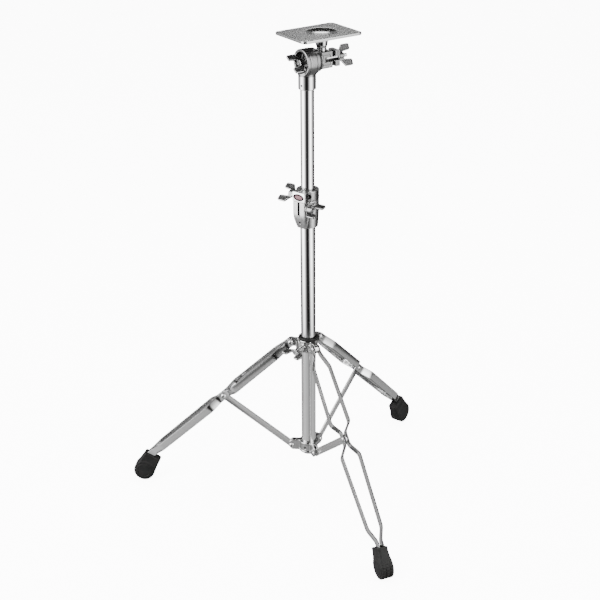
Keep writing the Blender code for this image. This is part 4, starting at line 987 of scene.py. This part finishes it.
def collar_field(x, y, z):
    bottom, top = low("leg_collar").z, high("collar_ring").z - 4.7 * MM
    half = (top - bottom) / 2
    z = z - (top + bottom) / 2
    pin = UPPER_PIVOT.z - (top + bottom) / 2
    screw = COLLAR_SCREW_HEIGHT - (top + bottom) / 2
    waist = 1.1 * MM * step(half - 3.6 * MM - np.abs(z), 0, 1.4 * MM)
    shape = disc(x, y, z, 19.3 * MM, -half, half, 1.0 * MM) + waist
    for angle in LEGS.values():
        out, aside = turned_xy(x, y, angle)
        lug = np.minimum(np.hypot(out - PIVOT_REACH, z - pin),
                         np.where(out < PIVOT_REACH, np.abs(z - pin), 1)) - 8.4 * MM
        lug = rounded(lug, np.abs(aside) - 4.0 * MM, 0.8 * MM)
        lug = np.maximum(lug, 14 * MM - out)
        shape = soft_min(shape, lug, 3.0 * MM)
        web = brick(out, aside, z, (15 * MM, -6.5 * MM, -half), (24 * MM, 6.5 * MM, half * 0.4), 1.5 * MM)
        shape = soft_min(shape, web, 2.0 * MM)
    out, aside = turned_xy(x, y, CLAMP_ANGLE)
    boss = rounded(np.hypot(aside, z - screw) - 6.5 * MM, np.abs(out - 22 * MM) - 8 * MM, 0.8 * MM)
    shape = soft_min(shape, boss, 2.6 * MM)
    shape = carve(shape, np.maximum(np.hypot(aside, z - screw) - PIVOT_BORE, 12 * MM - out), 0.4 * MM)
    for angle in LEGS.values():
        out, aside = turned_xy(x, y, angle)
        clear = np.maximum(np.abs(np.abs(aside) - 8.5 * MM) - 4.3 * MM, 25.6 * MM - out)
        shape = carve(shape, clear, 0.4 * MM)
        shape = carve(shape, np.hypot(out - PIVOT_REACH, z - pin) - PIVOT_BORE, 0.3 * MM)
    return carve(shape, np.hypot(x, y) - COLLAR_BORE, 0.6 * MM)


def make_collar():
    reach = 43 * MM
    field_piece("leg_collar", collar_field, (-reach, -reach, low("leg_collar").z),
                (reach, reach, high("leg_collar").z), 0.5 * MM, COLLAR_CASTING, "collar")
    lowest, highest = low("collar_ring"), high("collar_ring")
    turned_piece("collar_ring_skin", ring(highest.x, 16.0 * MM, lowest.z, highest.z, 1.7 * MM, 8),
                 RING_RUBBER, "collar", ["collar_ring"])
    face = COLLAR_BOSS_END + GAP
    make_wing("collar_wing_screw", SOLID_WING, "collar_screw",
              placed(polar(CLAMP_ANGLE, face, COLLAR_SCREW_HEIGHT)) @ facing(CLAMP_ANGLE, math.radians(172)),
              (3.0 * MM, face - LOWER_TUBE_RADIUS - 1.1 * MM))


# ---------------------------------------------------------------- clamps on the tubes

CLAMP_REACH = 28.5 * MM
CLAMP_HALF_WIDTH = 13.3 * MM
CLAMP_BOLT = Vector((22 * MM, 0, 613.5 * MM))
LOCK_BOLT_REACH = 17.3 * MM
LOCK_HALF_WIDTH = 14.5 * MM
LOCK_REACH = 27.5 * MM
RING_RADIUS = 21.5 * MM
SET_SCREW_HEIGHT = 584 * MM
CLAMP_SLOT = 2.2 * MM              # half the width of each saw cut
LOCK_SLOT = 1.8 * MM
SLIDE_BORE = UPPER_TUBE_RADIUS + GAP


def ear_distance(x, y, radius, reach, half, corner):
    """Section of a round body with one square ear along +X."""
    body = np.hypot(x, y) - radius
    ear_x = np.abs(x - reach / 2) - reach / 2
    ear_y = np.abs(y) - half
    ear = rounded(ear_x, ear_y, corner)
    return soft_min(body, ear, 0.8 * MM)


def clamp_field(x, y, z):
    bottom, top = low("height_clamp").z, high("height_clamp").z
    share = np.clip((z - bottom) / (604 * MM - bottom), 0, 1)
    swell = np.sin(share * TAU / 4)
    radius = (19.2 + 2.1 * share) * MM
    reach = 20.2 * MM + swell * (CLAMP_REACH - 20.2 * MM)
    half = 9.5 * MM + swell * (CLAMP_HALF_WIDTH - 9.5 * MM)
    side = ear_distance(x, y, radius, reach, half, 1.6 * MM)
    shape = rounded(side, np.abs(z - (top + bottom) / 2) - (top - bottom) / 2, 0.8 * MM)
    slot = np.maximum(np.abs(y) - CLAMP_SLOT, np.maximum(10 * MM - x, 598.5 * MM - z))
    shape = carve(shape, slot, 0.3 * MM)
    seat = np.hypot(x - CLAMP_BOLT.x, z - CLAMP_BOLT.z)
    shape = carve(shape, np.maximum(seat - WING_SEAT, CLAMP_HALF_WIDTH - y), 0.3 * MM)
    shape = carve(shape, seat - PIVOT_BORE, 0.3 * MM)
    nut_pocket = hexagon(x - CLAMP_BOLT.x, z - CLAMP_BOLT.z, 5.6 * MM)
    shape = carve(shape, np.maximum(nut_pocket, y + CLAMP_HALF_WIDTH - 4.5 * MM), 0.3 * MM)
    screw = np.maximum(np.hypot(y, z - SET_SCREW_HEIGHT) - 2.4 * MM, 12 * MM - x)
    shape = carve(shape, screw, 0.6 * MM)
    bore = np.hypot(x, y) - np.where(z > 601.7 * MM, 16.3 * MM, LOWER_TUBE_RADIUS + GAP)
    return carve(shape, bore, 0.4 * MM)


def make_height_clamp():
    reach = 22 * MM

    # faces in the saw cut and the set screw's hole take the painted shadow
    def in_painted_shadow(x, y, z):
        cut = (np.abs(y) < CLAMP_SLOT + 0.2 * MM) & (z > 597 * MM)
        hole = (np.hypot(y, z - SET_SCREW_HEIGHT) < 2.5 * MM) & (x < 20.0 * MM)
        return (x > 14 * MM) & (cut | hole)

    field_piece("height_clamp", clamp_field, (-reach, -reach, low("height_clamp").z),
                (CLAMP_REACH + 0.5 * MM, reach, high("height_clamp").z), 0.5 * MM,
                (CLAMP_CASTING, SLOT_SHADOW_PAINT), "base", CLAMP_FRAME, in_painted_shadow)
    make_grub_screw("clamp_set_screw", "base", 2.0 * MM, 5 * MM,
                    CLAMP_FRAME @ placed((17.8 * MM, 0, SET_SCREW_HEIGHT), (0, math.pi / 2, 0)))
    bushing = ring(16.0 * MM, SLIDE_BORE, low("clamp_bushing").z, high("clamp_bushing").z, 0.5 * MM)
    turned_piece("clamp_bushing_skin", bushing, NYLON, "base", ["clamp_bushing"])
    face = CLAMP_HALF_WIDTH + GAP
    make_wing("clamp_wing_bolt", SOLID_WING, "clamp_bolt",
              CLAMP_FRAME @ placed((CLAMP_BOLT.x, face, CLAMP_BOLT.z)) @ facing(TAU / 4, math.radians(19)),
              (3.0 * MM, face + CLAMP_HALF_WIDTH - 1.5 * MM))


def lock_field(x, y, z):
    bottom, top = low("memory_lock").z, high("memory_lock").z
    middle = (bottom + top) / 2
    side = ear_distance(x, y, RING_RADIUS, LOCK_REACH, LOCK_HALF_WIDTH, 1.8 * MM)
    shape = rounded(side, np.abs(z - middle) - (top - bottom) / 2, 0.9 * MM)
    shape = carve(shape, np.maximum(np.abs(y) - LOCK_SLOT, 5 * MM - x), 0.3 * MM)
    bolt = np.hypot(x - LOCK_BOLT_REACH, z - middle)
    shape = carve(shape, bolt - PIVOT_BORE, 0.3 * MM)
    shape = carve(shape, np.maximum(bolt - 4.85 * MM, LOCK_HALF_WIDTH - 5 * MM - y), 0.7 * MM)
    shape = carve(shape, np.maximum(bolt - WING_SEAT, LOCK_HALF_WIDTH + y), 0.3 * MM)
    countersink = np.hypot(x, y) - SLIDE_BORE - np.maximum(z - top + 1.2 * MM, 0)
    return carve(shape, countersink, 0.3 * MM)


def oval(half_x, half_y, steps=48):
    return [(half_x * math.cos(TAU * i / steps), half_y * math.sin(TAU * i / steps)) for i in range(steps)]


def make_badge(middle):
    """Plate with a plain raised oval: black rim, enamelled middle."""
    thickness = 0.9 * MM
    start = LOCK_REACH + GAP
    upright = Matrix.Rotation(math.pi / 2, 4, "Y")

    def plate(name, loops, depth, level, material, nodes, edge):
        mesh = flat_mesh(name, loops, depth, edge)
        mesh.transform(Matrix.Translation((level + depth / 2, 0, middle)) @ upright)
        add_piece(name, mesh, material, "lock", nodes, CLAMP_FRAME)

    outline = soften([(-9.2 * MM, -13.9 * MM), (9.2 * MM, -13.9 * MM), (9.2 * MM, 13.9 * MM),
                      (-9.2 * MM, 13.9 * MM)], 2.2 * MM, 5)
    plate("lock_badge_skin", [outline], thickness, start, BADGE_CHROME, ["lock_badge"], 0.3 * MM)
    plate("lock_badge_rim", [oval(6.5 * MM, 12.2 * MM), oval(3.7 * MM, 8.2 * MM)], 0.3 * MM,
          start + thickness, BADGE_BLACK, (), 0.1 * MM)
    plate("lock_badge_middle", [oval(3.65 * MM, 8.1 * MM)], 0.22 * MM, start + thickness, BADGE_ROSE, (),
          0.06 * MM)


def make_lock():
    bottom, top = low("memory_lock").z, high("memory_lock").z
    middle = (bottom + top) / 2
    reach = 22 * MM

    # faces in the saw cut, round the bore and in the bolt head's socket take the painted shadow
    def in_painted_shadow(x, y, z):
        cut = (np.abs(y) < LOCK_SLOT + 0.35 * MM) & (x > 5 * MM) & (x < LOCK_REACH - 0.5 * MM)
        cut |= np.hypot(x, y) < SLIDE_BORE + 1.3 * MM
        socket = (np.hypot(x - LOCK_BOLT_REACH, z - middle) < 4.95 * MM) & (y > 0)
        return cut | socket

    field_piece("memory_lock", lock_field, (-reach, -reach, bottom), (LOCK_REACH + 0.5 * MM, reach, top),
                0.5 * MM, (CASTING, SLOT_SHADOW_PAINT), "lock", CLAMP_FRAME, in_painted_shadow)
    make_badge(middle)
    head = 4.55 * MM
    base = LOCK_HALF_WIDTH - 5 * MM + GAP
    crown = base + 3.4 * MM
    nut_face = LOCK_HALF_WIDTH + GAP
    end = -nut_face - WING_HUB_HEIGHT + 1.5 * MM
    profile = [(0, crown - 2.0 * MM), (2.3 * MM, crown - 2.0 * MM), (2.3 * MM, crown), (head, crown),
               (head, base), (3 * MM, base), (3 * MM, end), (0, end)]
    turned_piece("lock_bolt_skin", soften(profile, 0.5 * MM, 3, closed=False), BLACK_STEEL, "lock",
                 ["lock_bolt"],
                 CLAMP_FRAME @ Matrix.Translation((LOCK_BOLT_REACH, 0, middle)) @ ALONG_Y, segments=48)
    make_wing("lock_wing_nut", BOLT_BORE_WING, "lock_nut",
              CLAMP_FRAME @ placed((LOCK_BOLT_REACH, -nut_face, middle))
              @ facing(-TAU / 4, math.radians(144)))


# ---------------------------------------------------------------- tilter

DRUM_RADIUS = 24.5 * MM
DRUM_START = -13.5 * MM
DRUM_END = 17 * MM
DRUM_SEAM = 7.5 * MM
CUP_RADIUS = 19.4 * MM
CUP_BOTTOM = 1.5 * MM
SLEEVE_RADIUS = 16.2 * MM
FLANGE_START = 19.5 * MM
FLANGE_END = 22.3 * MM
JAW_END = 47.6 * MM
JAW_HALF_WIDTH = 13 * MM
JAW_HALF_HEIGHT = 15.2 * MM
SHOE_START = 53.9 * MM
SHOE_END = 64.5 * MM
ROD_RADIUS = 6.35 * MM
STEM_WAIST = 8.9 * MM
SLEEVE_SCREW_ANGLE = math.radians(-153) - TILTER_ANGLE
SLEEVE_SCREW_HEIGHT = 842.5 * MM


def tilter_field(x, y, z):
    """In the tilt frame: X along the brake's axis, the tube's axis on Z."""
    bottom = low("tilter_body").z - TILTER_HEIGHT
    sleeve = disc(x, y, z, SLEEVE_RADIUS, bottom, 0, 1.6 * MM)
    front = disc(y, z, x, DRUM_RADIUS, DRUM_START, DRUM_SEAM, 1.5 * MM)
    groove = np.maximum(np.abs(x - DRUM_START - 6.2 * MM) - 0.5 * MM, DRUM_RADIUS - 0.5 * MM - np.hypot(y, z))
    back = disc(y, z, x, DRUM_RADIUS - 0.7 * MM, DRUM_SEAM - 4 * MM, DRUM_END, 4.5 * MM)
    shape = soft_min(carve(front, groove, 0.4 * MM), back, 0.3 * MM)
    shape = soft_min(shape, sleeve, 3.2 * MM)
    shape = np.maximum(shape, x - DRUM_END)
    cup = disc(y, z, x, CUP_RADIUS, DRUM_START - 20 * MM, CUP_BOTTOM, 2.2 * MM)
    shape = carve(shape, cup, 0.7 * MM)
    shape = carve(shape, np.hypot(y, z) - 4.3 * MM, 0.3 * MM)
    tube = disc(x, y, z, SLIDE_BORE, bottom - 9 * MM, high("upper_tube").z - TILTER_HEIGHT + GAP, 0.2 * MM)
    shape = carve(shape, tube, 0.4 * MM)
    out, aside = turned_xy(x, y, SLEEVE_SCREW_ANGLE)
    hole = np.maximum(np.hypot(aside, z - SLEEVE_SCREW_HEIGHT + TILTER_HEIGHT) - 1.8 * MM, 10 * MM - out)
    return carve(shape, hole, 0.5 * MM)


def make_tilter():
    bottom = low("tilter_body").z - TILTER_HEIGHT
    reach = DRUM_RADIUS
    field_piece("tilter_body", tilter_field, (-SLEEVE_RADIUS, -reach, bottom), (DRUM_END, reach, reach),
                0.55 * MM, (SLEEVE_CHROME, DRUM_CASTING), "mast", TILT_FRAME,
                lambda x, y, z: z > -DRUM_RADIUS)
    screw_angle = SLEEVE_SCREW_ANGLE + TILTER_ANGLE
    make_grub_screw("sleeve_screw", "mast", 1.5 * MM, 2.2 * MM,
                    placed(polar(screw_angle, 14.1 * MM, SLEEVE_SCREW_HEIGHT),
                           (0, math.pi / 2, screw_angle)))
    hub_face = CUP_BOTTOM - GAP - 5 * MM
    make_wing("brake_wing_bolt", SOLID_WING, "brake_bolt",
              TILT_FRAME @ placed((hub_face, 0, 0)) @ facing(math.pi, math.radians(143)),
              (4.0 * MM, 22.1 * MM - hub_face))
    washer = [(4.05 * MM, CUP_BOTTOM - GAP), (8.1 * MM, CUP_BOTTOM - GAP), (8.1 * MM, hub_face + 0.4 * MM),
              (4.05 * MM, hub_face + 0.4 * MM)]
    turned_piece("brake_washer", soften(washer, 0.5 * MM, 3), RIVET_CHROME, "brake_bolt",
                 matrix=TILT_FRAME @ ALONG_X, segments=64)
    disc_profile = ring(19.5 * MM, 4.3 * MM, DRUM_END + GAP, FLANGE_START - GAP, 0.3 * MM, 2)
    turned_piece("brake_disc_skin", disc_profile, NYLON, "tilt", ["brake_disc"],
                 TILT_FRAME @ ALONG_X)


def jaw_field(x, y, z):
    flange = disc(y, z, x, 20.6 * MM, FLANGE_START, FLANGE_END, 1.0 * MM)
    dome = disc(y, z, x, 18.2 * MM, FLANGE_START + 0.5 * MM, FLANGE_END, 1.0 * MM)
    shape = soft_min(flange, dome, 1.0 * MM)
    block = brick(x, y, z, (FLANGE_START + 0.8 * MM, -JAW_HALF_WIDTH, -JAW_HALF_HEIGHT),
                  (JAW_END, JAW_HALF_WIDTH, JAW_HALF_HEIGHT), 1.6 * MM)
    relief = brick(x, np.abs(y), z, (FLANGE_END + 4.5 * MM, JAW_HALF_WIDTH - 1.1 * MM, -9.5 * MM),
                   (JAW_END - 5 * MM, 1, 9.5 * MM), 0.8 * MM)
    block = carve(block, relief, 0.7 * MM)
    shape = soft_min(shape, block, 1.5 * MM)
    away = x - STEM_REACH
    shape = carve(shape, np.hypot(away, y) - ROD_RADIUS - GAP, 0.5 * MM)
    pocket = brick(x, y, z, (STEM_REACH - 9.0 * MM, -9.0 * MM, -4.5 * MM),
                   (STEM_REACH + 9.0 * MM, 40 * MM, 4.5 * MM), 0.2 * MM)
    shape = carve(shape, pocket, 0.3 * MM)
    slot = brick(x, y, z, (STEM_REACH, -40 * MM, -4.7 * MM), (60 * MM, 4.4 * MM, 4.7 * MM), 0.2 * MM)
    shape = carve(shape, slot, 0.5 * MM)
    nose = brick(x, y, z, (STEM_REACH, -4.5 * MM, -8.6 * MM), (60 * MM, 10 * MM, 8.6 * MM), 0.2 * MM)
    shape = carve(shape, nose, 0.5 * MM)
    return carve(shape, np.hypot(y, z) - 4.3 * MM + 30 * np.maximum(x - 25 * MM, 0), 0.3 * MM)


def shoe_field(x, y, z):
    block = brick(x, y, z, (SHOE_START, -12 * MM, -14.8 * MM), (SHOE_END, 12 * MM, 14.8 * MM), 1.4 * MM)
    relief = brick(x, np.abs(y), z, (SHOE_START + 2.6 * MM, 11.2 * MM, -12 * MM),
                   (SHOE_END - 2.6 * MM, 1, 12 * MM), 0.5 * MM)
    block = carve(block, relief, 0.5 * MM)
    nose = brick(x, y, z, (STEM_REACH + ROD_RADIUS + 3.4 * MM, 4.1 * MM, -8.2 * MM),
                 (SHOE_START + 2 * MM, 9.6 * MM, 8.2 * MM), 0.5 * MM)
    shape = soft_min(block, nose, 0.6 * MM)
    slot = brick(x, y, z, (SHOE_START - 9 * MM, -40 * MM, -4.2 * MM), (SHOE_END + 9 * MM, 3.8 * MM, 4.2 * MM),
                 0.2 * MM)
    return carve(shape, slot, 0.6 * MM)


def eye_field(x, y, z):
    eye = disc(x - STEM_REACH, y, z, 8.7 * MM, -3.5 * MM, 3.5 * MM, 0.8 * MM)
    shank = disc(y, z, x, 3.4 * MM, STEM_REACH + 7 * MM, high_along("eye_bolt"), 0.5 * MM)
    thread = 0.22 * MM * (0.5 + 0.5 * np.cos(x * TAU / SCREW_PITCH)) * step(x, 50 * MM, 52 * MM)
    shape = soft_min(eye, shank + thread, 1.2 * MM)
    return carve(shape, np.hypot(x - STEM_REACH, y) - ROD_RADIUS - GAP, 0.4 * MM)


def high_along(node):
    """Furthest reach of a node along the tilter's axis, from the tube's axis."""
    points = np.empty(len(frame["nodes"][node].data.vertices) * 3)
    frame["nodes"][node].data.vertices.foreach_get("co", points)
    return float(((points.reshape(-1, 3) - np.array(TUBE_AXIS)) @ np.array(TILT_AXIS)).max())


def make_jaw():
    reach = 21 * MM
    field_piece("tilt_jaw", jaw_field, (FLANGE_START, -reach, -reach), (JAW_END, reach, reach), 0.5 * MM,
                CASTING, "tilt", TILT_FRAME)
    field_piece("clamp_shoe", shoe_field, (40 * MM, -12 * MM, -15 * MM), (SHOE_END, 12 * MM, 15 * MM),
                0.5 * MM, CASTING, "shoe", TILT_FRAME)
    field_piece("eye_bolt", eye_field, (22 * MM, -9 * MM, -4 * MM),
                (high_along("eye_bolt"), 9 * MM, 4 * MM), 0.3 * MM, RIVET_CHROME, "tilt",
                TILT_FRAME)
    make_wing("jaw_wing_nut", STUD_BORE_WING, "jaw_nut",
              TILT_FRAME @ placed((SHOE_END + GAP, 0, 0)) @ facing(0, math.radians(65)))


# ---------------------------------------------------------------- plate

PLATE_LENGTH = 127.7 * MM
PLATE_WIDTH = 96.9 * MM
PLATE_THICKNESS = 5.2 * MM
PLATE_CORNER = 9.5 * MM
PLATE_OFFSET = -6.8 * MM
HOLE_X = 54.5 * MM
HOLE_Y = 41.5 * MM
HOLE_RADIUS = 3.0 * MM
DISH_RADIUS = 29 * MM
DISH_DEPTH = 5.6 * MM
BOSS_DROP = 10.5 * MM


def plate_field(x, y, z):
    """Z = 0 on the plate's top, the stem's axis at the origin."""
    along = np.abs(x - PLATE_OFFSET) - PLATE_LENGTH / 2 + PLATE_CORNER
    across = np.abs(y) - PLATE_WIDTH / 2 + PLATE_CORNER
    side = np.minimum(np.maximum(along, across), 0) - PLATE_CORNER
    side = side + np.hypot(np.maximum(along, 0), np.maximum(across, 0))
    slab = rounded(side, np.abs(z + PLATE_THICKNESS / 2) - PLATE_THICKNESS / 2, 1.1 * MM)
    radius = np.hypot(x, y)
    share = np.clip(radius / DISH_RADIUS, 0, 1)
    bowl = -DISH_DEPTH * (1 - share**2.6)
    under = -PLATE_THICKNESS - (BOSS_DROP - PLATE_THICKNESS) * (1 - step(radius, 13.5 * MM, 25 * MM))
    boss = np.maximum(np.maximum(z + 2 * MM, under - z), radius - 26 * MM)
    shape = soft_min(slab, boss, 1.0 * MM)
    shape = soft_max(shape, np.where(radius < DISH_RADIUS + 3 * MM, z - bowl, z), 1.3 * MM)
    shape = np.maximum(shape, z)
    for sx in (-1, 1):
        for sy in (-1, 1):
            hole = np.hypot(x - PLATE_OFFSET - sx * HOLE_X, y - sy * HOLE_Y) - HOLE_RADIUS
            sink = hole - np.maximum(z + 0.9 * MM, 0)
            shape = carve(shape, sink, 0.3 * MM)
    socket = np.maximum(radius - 5.3 * MM, z + BOSS_DROP - 3.3 * MM)
    return carve(shape, socket, 0.2 * MM)


def make_plate():
    top = high("mounting_plate").z
    end = PLATE_LENGTH / 2
    field_piece("mounting_plate", plate_field, (PLATE_OFFSET - end, -PLATE_WIDTH / 2, -BOSS_DROP),
                (PLATE_OFFSET + end, PLATE_WIDTH / 2, 0), 0.62 * MM, PLATE_STEEL, "plate",
                PLATE_FRAME @ Matrix.Translation((0, 0, top)))
    boss = top - BOSS_DROP
    jaw_top = TILTER_HEIGHT + JAW_HALF_HEIGHT + GAP
    bottom = low("plate_stem").z
    profile = [(0, boss + 3 * MM), (5 * MM, boss + 3 * MM), (5 * MM, boss - GAP),
               (12.2 * MM, boss - GAP), (12.2 * MM, boss - 3 * MM), (11.6 * MM, boss - 8 * MM),
               (10.6 * MM, boss - 14 * MM), (STEM_WAIST, boss - 18 * MM), (STEM_WAIST, jaw_top),
               (ROD_RADIUS, jaw_top), (ROD_RADIUS, bottom + 1 * MM),
               (ROD_RADIUS - 1 * MM, bottom), (0, bottom)]
    turned_piece("plate_stem_skin", soften(profile, 0.5 * MM, 3, closed=False), STEM_CHROME, "plate",
                 ["plate_stem"], PLATE_FRAME)


# ---------------------------------------------------------------- studio

CAMERA_SPOT = (-0.9654, -2.2162, 1.5202)
CAMERA_TURN = (1.1429, 0.0067, -0.4074)
CAMERA_LENS = 83.11
CAMERA_AZIMUTH = math.atan2(CAMERA_SPOT[1], CAMERA_SPOT[0])

TENT_RADIUS = 1.6
TENT_BOTTOM = -2.2
TENT_TOP = 3.2
# Brightness of the light tent's wall, seen from the stand: degrees from the camera, to the right
TENT_BANDS = [(-180, 0.05), (-136, 0.05), (-108, 0.5), (-84, 9.0), (-62, 8.0), (-44, 0.9), (-30, 0.3),
              (-22, 0.14), (-14, 0.012), (2, 0.012), (8, 0.06), (22, 0.42), (38, 4.5), (56, 9.0), (78, 0.9),
              (100, 0.16), (130, 0.05), (180, 0.05)]
# The same near the floor, where the wall shows in the legs and the foot of the tube
LOW_BANDS = [(-180, 0.35), (-120, 0.5), (-75, 1.1), (-45, 0.8), (-12, 0.65), (2, 0.5), (9, 0.12), (16, 0.65),
             (34, 1.1), (46, 0.3), (60, 0.9), (110, 0.5), (180, 0.35)]
BAND_DRIFT = 0.16                  # how far the bands turn to the right towards the floor
HIGH_WALL = 0.34                   # band above the stand, which level faces mirror
SPOT_LIGHT = 9.0                   # small lamp behind the stand, mirrored in the plate's dish
SPOT_HEIGHT = 1.74
SPOT_SIZE = 0.22


def make_tent():
    """Upright wall of light round the stand, seen only in reflections."""
    wall = lathe_mesh("light_tent", [(TENT_RADIUS, TENT_BOTTOM), (TENT_RADIUS, TENT_TOP)], 128,
                      closed=False)
    tent = bpy.data.objects.new("light_tent", wall)
    bpy.context.scene.collection.objects.link(tent)
    tent.location = TUBE_AXIS
    tent.visible_camera = False
    tent.visible_diffuse = False
    tent.visible_shadow = False
    tent.visible_transmission = False
    n = Nodes("tent_light")
    split = n.add("SeparateXYZ", {"Vector": n.object})
    turned = n.add("VectorRotate", {"Vector": n.object, "Angle": -CAMERA_AZIMUTH}, rotation_type="Z_AXIS")
    parts = n.add("SeparateXYZ", {"Vector": turned.outputs["Vector"]})
    angle = n.add("Math", {0: parts.outputs["Y"], 1: parts.outputs["X"]}, operation="ARCTAN2").outputs[0]
    height = split.outputs["Z"]

    def calculate(operation, first, second):
        return n.add("Math", {0: first, 1: second}, operation=operation).outputs[0]

    def band_light(table, place):
        """Brightness from a table of degrees, interpolated on its square root."""
        ramp = n.add("ValToRGB", {"Fac": n.remap(place, -math.pi, math.pi, 0, 1)})
        ramp.color_ramp.interpolation = "B_SPLINE"
        stops = ramp.color_ramp.elements
        while len(stops) > 1:
            stops.remove(stops[0])
        brightest = max(value for _, value in table)
        for i, (degrees, value) in enumerate(table):
            spot = (degrees + 180) / 360
            stop = stops[0] if i == 0 else stops.new(spot)
            stop.position = spot
            stop.color = grey((value / brightest) ** 0.5)
        return calculate("MULTIPLY", calculate("POWER", ramp.outputs["Color"], 2.0), brightest)

    def blend_light(share, first, second):
        kept = calculate("MULTIPLY", calculate("SUBTRACT", 1.0, share), first)
        return calculate("ADD", kept, calculate("MULTIPLY", share, second))

    drifted = calculate("SUBTRACT", angle, n.remap(height, -0.4, 0.12, BAND_DRIFT, 0))
    bands_light = band_light(TENT_BANDS, drifted)
    bands_light = calculate("MULTIPLY", bands_light, n.remap(height, -0.45, 0.12, 0.35, 1.0))
    low_share = n.remap(height, -0.40, -0.50, 0, 1)
    low_light = band_light(LOW_BANDS, angle)
    high_share = calculate("MULTIPLY", n.remap(height, 1.0, 1.12, 0, 1), n.remap(height, 1.55, 1.75, 1, 0))
    rear = n.remap(n.add("Math", {0: angle}, operation="ABSOLUTE").outputs[0], 1.9, 2.3, 0, 1)
    high_share = calculate("MULTIPLY", high_share, rear)
    strength = blend_light(low_share, bands_light, low_light)
    strength = blend_light(high_share, strength, HIGH_WALL)
    spot_place = polar(CAMERA_AZIMUTH + math.radians(178), TENT_RADIUS, SPOT_HEIGHT)
    away = n.add("VectorMath", {0: n.object, 1: spot_place}, operation="DISTANCE").outputs["Value"]
    strength = blend_light(n.remap(away, SPOT_SIZE, SPOT_SIZE * 0.5, 0, 1), strength, SPOT_LIGHT)
    emit = n.add("Emission", {"Strength": strength})
    output = next(node for node in n.tree.nodes if node.type == "OUTPUT_MATERIAL")
    n.tree.links.new(emit.outputs["Emission"], output.inputs["Surface"])
    n.material.cycles.emission_sampling = "NONE"
    wall.materials.append(n.material)


FLOOR_GLOW = 10.0
FLOOR_HALF = 14


def make_floor():
    mesh = bpy.data.meshes.new("floor")
    corners = [(x * FLOOR_HALF, y * FLOOR_HALF, 0) for x, y in ((-1, -1), (1, -1), (1, 1), (-1, 1))]
    mesh.from_pydata(corners, [], [(0, 1, 2, 3)])
    floor = bpy.data.objects.new("floor", mesh)
    bpy.context.scene.collection.objects.link(floor)
    floor.visible_glossy = False
    floor.visible_diffuse = False
    n = Nodes("floor_paper")
    tone = n.mix(n.remap(n.noise(3, 3), 0.3, 0.7, 0, 1), grey(0.93), grey(0.96))
    n.set(Base_Color=tone, Roughness=0.9, Specular_IOR_Level=0.1, Emission_Color=grey(1),
          Emission_Strength=FLOOR_GLOW)
    mesh.materials.append(n.material)


SURROUND_LIGHT = 1.0
CEILING_LIGHT = 0.12               # what mirrors see above the tent


def make_world():
    """Even white surround. The camera sees it as bright as the floor."""
    world = bpy.data.worlds.new("studio")
    bpy.context.scene.world = world
    world.use_nodes = True
    tree = world.node_tree
    background = tree.nodes["Background"]
    background.inputs["Color"].default_value = (1, 1, 1, 1)
    path = tree.nodes.new("ShaderNodeLightPath")
    strength = SURROUND_LIGHT
    for ray, value in (("Is Glossy Ray", CEILING_LIGHT), ("Is Camera Ray", SURROUND_LIGHT + FLOOR_GLOW)):
        choice = tree.nodes.new("ShaderNodeMix")
        tree.links.new(path.outputs[ray], choice.inputs[0])
        if isinstance(strength, float):
            choice.inputs[2].default_value = strength
        else:
            tree.links.new(strength, choice.inputs[2])
        choice.inputs[3].default_value = value
        strength = choice.outputs[0]
    tree.links.new(strength, background.inputs["Strength"])


def add_light(name, size, power, azimuth, elevation, distance, mirrored=True):
    data = bpy.data.lights.new(name, "AREA")
    data.shape = "DISK"
    data.size = size
    data.energy = power
    light = bpy.data.objects.new(name, data)
    bpy.context.scene.collection.objects.link(light)
    light.visible_glossy = mirrored
    target = TUBE_AXIS + Vector((0, 0, 0.45))
    flat = distance * math.cos(elevation)
    light.location = target + polar(CAMERA_AZIMUTH + azimuth, flat, distance * math.sin(elevation))
    light.rotation_euler = (target - light.location).to_track_quat("-Z", "Y").to_euler()


def make_camera():
    data = bpy.data.cameras.new("camera")
    data.lens = CAMERA_LENS
    data.sensor_width = 36
    camera = bpy.data.objects.new("camera", data)
    camera.location = TUBE_AXIS + Vector(CAMERA_SPOT)
    camera.rotation_euler = CAMERA_TURN
    bpy.context.scene.collection.objects.link(camera)
    bpy.context.scene.camera = camera


make_tubes()
make_tripod()
make_bracket()
make_collar()
make_height_clamp()
make_lock()
make_tilter()
make_jaw()
make_plate()
for node, material in (("upper_tube_plug", NYLON), ("clamp_nut", RIVET_CHROME)):
    frame["nodes"][node].data.materials.clear()
    frame["nodes"][node].data.materials.append(material)
make_tent()
make_floor()
make_world()
add_light("key", 1.6, 110, math.radians(-50), math.radians(48), 3.2)
add_light("fill", 2.2, 60, math.radians(70), math.radians(38), 3.4)
add_light("top", 2.4, 90, math.radians(180), math.radians(75), 3.0, mirrored=False)
make_camera()
